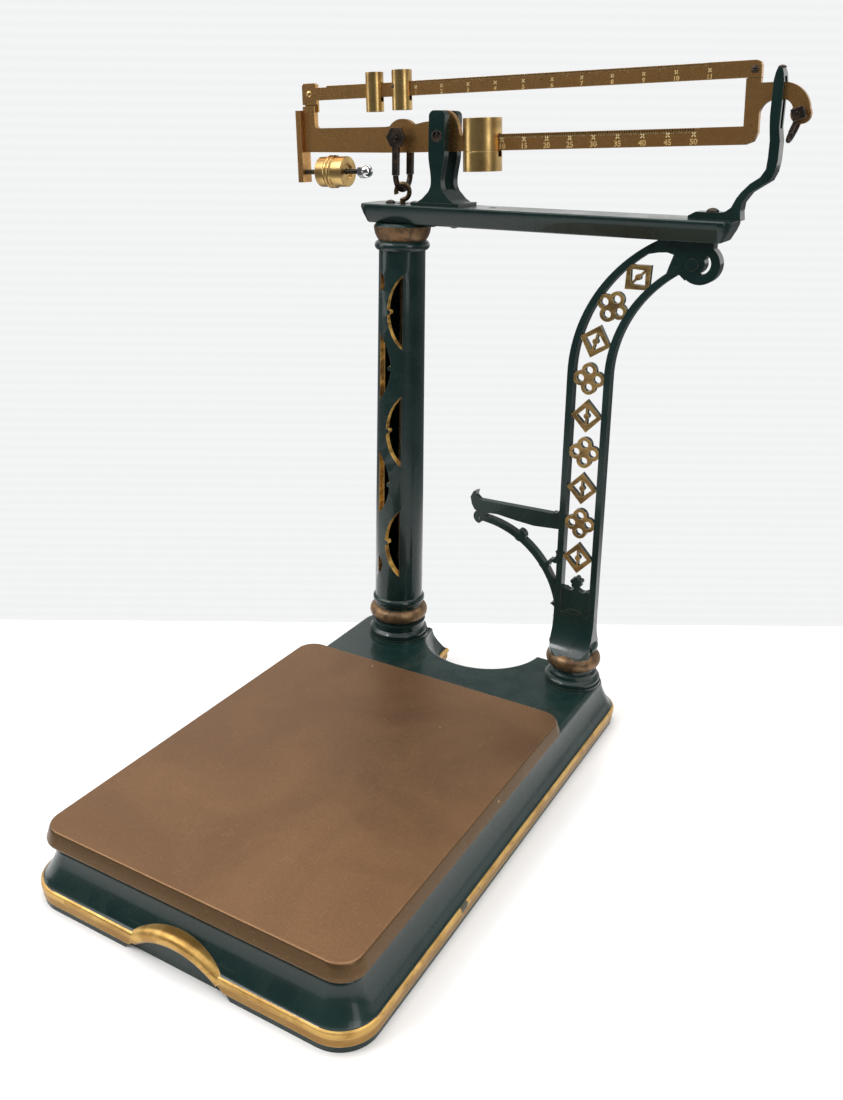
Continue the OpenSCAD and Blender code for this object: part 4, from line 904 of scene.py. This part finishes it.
stageLook = {"floorHalf": 6, "floor": (0.90, 0.90, 0.90, 1), "fadeFrom": 0.42, "fadeTo": 0.85,
             "faded": (0.10, 0.10, 0.105, 1), "wallAway": 1.102, "wallHalf": 1.3, "wallHigh": 1.6, "ribPitch": 0.0105,
             "rib": (0.905, 0.91, 0.915, 1), "groove": (0.885, 0.89, 0.897, 1)}


# Pale floor, which light bounces off near the object alone, so that the enamel's mirror image of it stays dark

def buildFloor():
    look = stageLook
    half = look["floorHalf"]
    floor = plainPlane("floor", [(-half, -half, 0), (half, -half, 0), (half, half, 0), (-half, half, 0)])
    made, tree, where = newPaint("paleFloor")
    tone = mixColour(tree, noise(tree, where, 60, 3.0), look["floor"], darker(look["floor"], 0.985))
    away = addNode(tree, "ShaderNodeVectorMath", {0: where}, operation="LENGTH").outputs["Value"]
    unseen = maths(tree, "SUBTRACT", 1.0, tree.nodes.new("ShaderNodeLightPath").outputs["Is Camera Ray"])
    far = maths(tree, "MULTIPLY", ramp(tree, away, look["fadeFrom"], look["fadeTo"]), unseen)
    shader = addNode(tree, "ShaderNodeBsdfPrincipled", {"Base Color": mixColour(tree, far, tone, look["faded"]),
                     "Roughness": 0.7, "Specular IOR Level": 0.25})
    frontOnly(tree, shader.outputs[0])
    floor.data.materials.append(made)
    return floor


# Ribbed pale wall square to the camera, seen but throwing no light: it glows, and its ribs are painted as stripes of
# light and shade

def buildWall():
    look = stageLook
    yaw = math.radians(cameraLook["yaw"])
    ahead = Vector((-math.sin(yaw), math.cos(yaw), 0))
    side = Vector((math.cos(yaw), math.sin(yaw), 0))
    foot = Vector((cameraLook["at"][0], cameraLook["at"][1], 0)) + ahead * look["wallAway"]
    left, right = foot - side * look["wallHalf"], foot + side * look["wallHalf"]
    high = Vector((0, 0, look["wallHigh"]))
    wall = plainPlane("backdrop", [left, right, right + high, left + high])
    made, tree, where = newPaint("paleWall")
    height = addNode(tree, "ShaderNodeSeparateXYZ", {0: where}).outputs["Z"]
    ribs = maths(tree, "SINE", maths(tree, "MULTIPLY", height, 2 * math.pi / look["ribPitch"]))
    tone = mixColour(tree, ramp(tree, ribs, -1, 1), look["groove"], look["rib"])
    glow = addNode(tree, "ShaderNodeEmission", {"Color": tone, "Strength": 1.0})
    frontOnly(tree, glow.outputs[0])
    wall.data.materials.append(made)
    wall.visible_shadow = False
    wall.visible_diffuse = False
    wall.visible_glossy = False
    return wall


# Each lamp: place, aim, size in metres and power in watts
lampLook = {
    "keyLamp": {"at": (-1.5, -1.1, 2.1), "aim": (0, 0, 0.2), "size": (1.5, 1.5), "power": 24},
    "fillLamp": {"at": (1.9, -0.9, 1.5), "aim": (0, 0, 0.25), "size": (1.2, 1.2), "power": 9},
    "topLamp": {"at": (0.1, 0.5, 2.2), "aim": (0, 0, 0.2), "size": (1.8, 1.2), "power": 14},
    "leftStrip": {"at": (-1.45, -0.35, 0.75), "aim": (-0.05, 0.2, 0.45), "size": (0.5, 1.3), "power": 4},
    "rightStrip": {"at": (1.35, -0.55, 0.75), "aim": (0, 0.2, 0.45), "size": (0.4, 1.3), "power": 3.5},
    "glintLamp": {"at": (-0.8, -1.3, 1.8), "aim": (-0.05, 0.2, 0.4), "size": (0.22, 0.22), "power": 4.5},
}


def buildLamps():
    for name, look in lampLook.items():
        data = bpy.data.lights.new(name, "AREA")
        data.shape = "RECTANGLE"
        data.size, data.size_y = look["size"]
        data.energy = look["power"]
        made = addObject(name, data)
        made.location = look["at"]
        made.rotation_mode = "QUATERNION"
        made.rotation_quaternion = (Vector(look["aim"]) - Vector(look["at"])).to_track_quat("-Z", "Y")


# Room that the metal mirrors: ceiling, a window at the left and the wall behind; the camera sees it plain

def buildRoom():
    world = bpy.data.worlds.new("studio")
    bpy.context.scene.world = world
    world.use_nodes = True
    tree = world.node_tree
    tree.nodes.clear()
    toward = tree.nodes.new("ShaderNodeTexCoord").outputs["Generated"]
    parts = addNode(tree, "ShaderNodeSeparateXYZ", {0: toward}).outputs
    above = ramp(tree, parts["Z"], 0.54, 0.66)
    window = maths(tree, "MULTIPLY", ramp(tree, parts["X"], -0.38, -0.54), ramp(tree, parts["Z"], 0.28, 0.50))
    wall = maths(tree, "MULTIPLY", ramp(tree, parts["Y"], 0.1, 0.6), ramp(tree, parts["Z"], 0.36, 0.20))
    most = maths(tree, "MAXIMUM", maths(tree, "MAXIMUM", above, window), maths(tree, "MULTIPLY", wall, 0.62))
    level = maths(tree, "ADD", maths(tree, "MULTIPLY", most, 1.08), ramp(tree, parts["Y"], -0.6, 0.6, 0.10, 0.24))
    room = addNode(tree, "ShaderNodeBackground", {"Color": (1.0, 0.99, 0.975, 1), "Strength": level})
    plain = addNode(tree, "ShaderNodeBackground", {"Color": (0.93, 0.935, 0.94, 1), "Strength": 1.0})
    seen = tree.nodes.new("ShaderNodeLightPath").outputs["Is Camera Ray"]
    both = addNode(tree, "ShaderNodeMixShader", {0: seen, 1: room.outputs[0], 2: plain.outputs[0]})
    addNode(tree, "ShaderNodeOutputWorld", {"Surface": both.outputs[0]})


buildCamera()
buildFloor()
buildWall()
buildRoom()
buildLamps()
bpy.context.scene.view_settings.view_transform = "Standard"
print("stage ready")
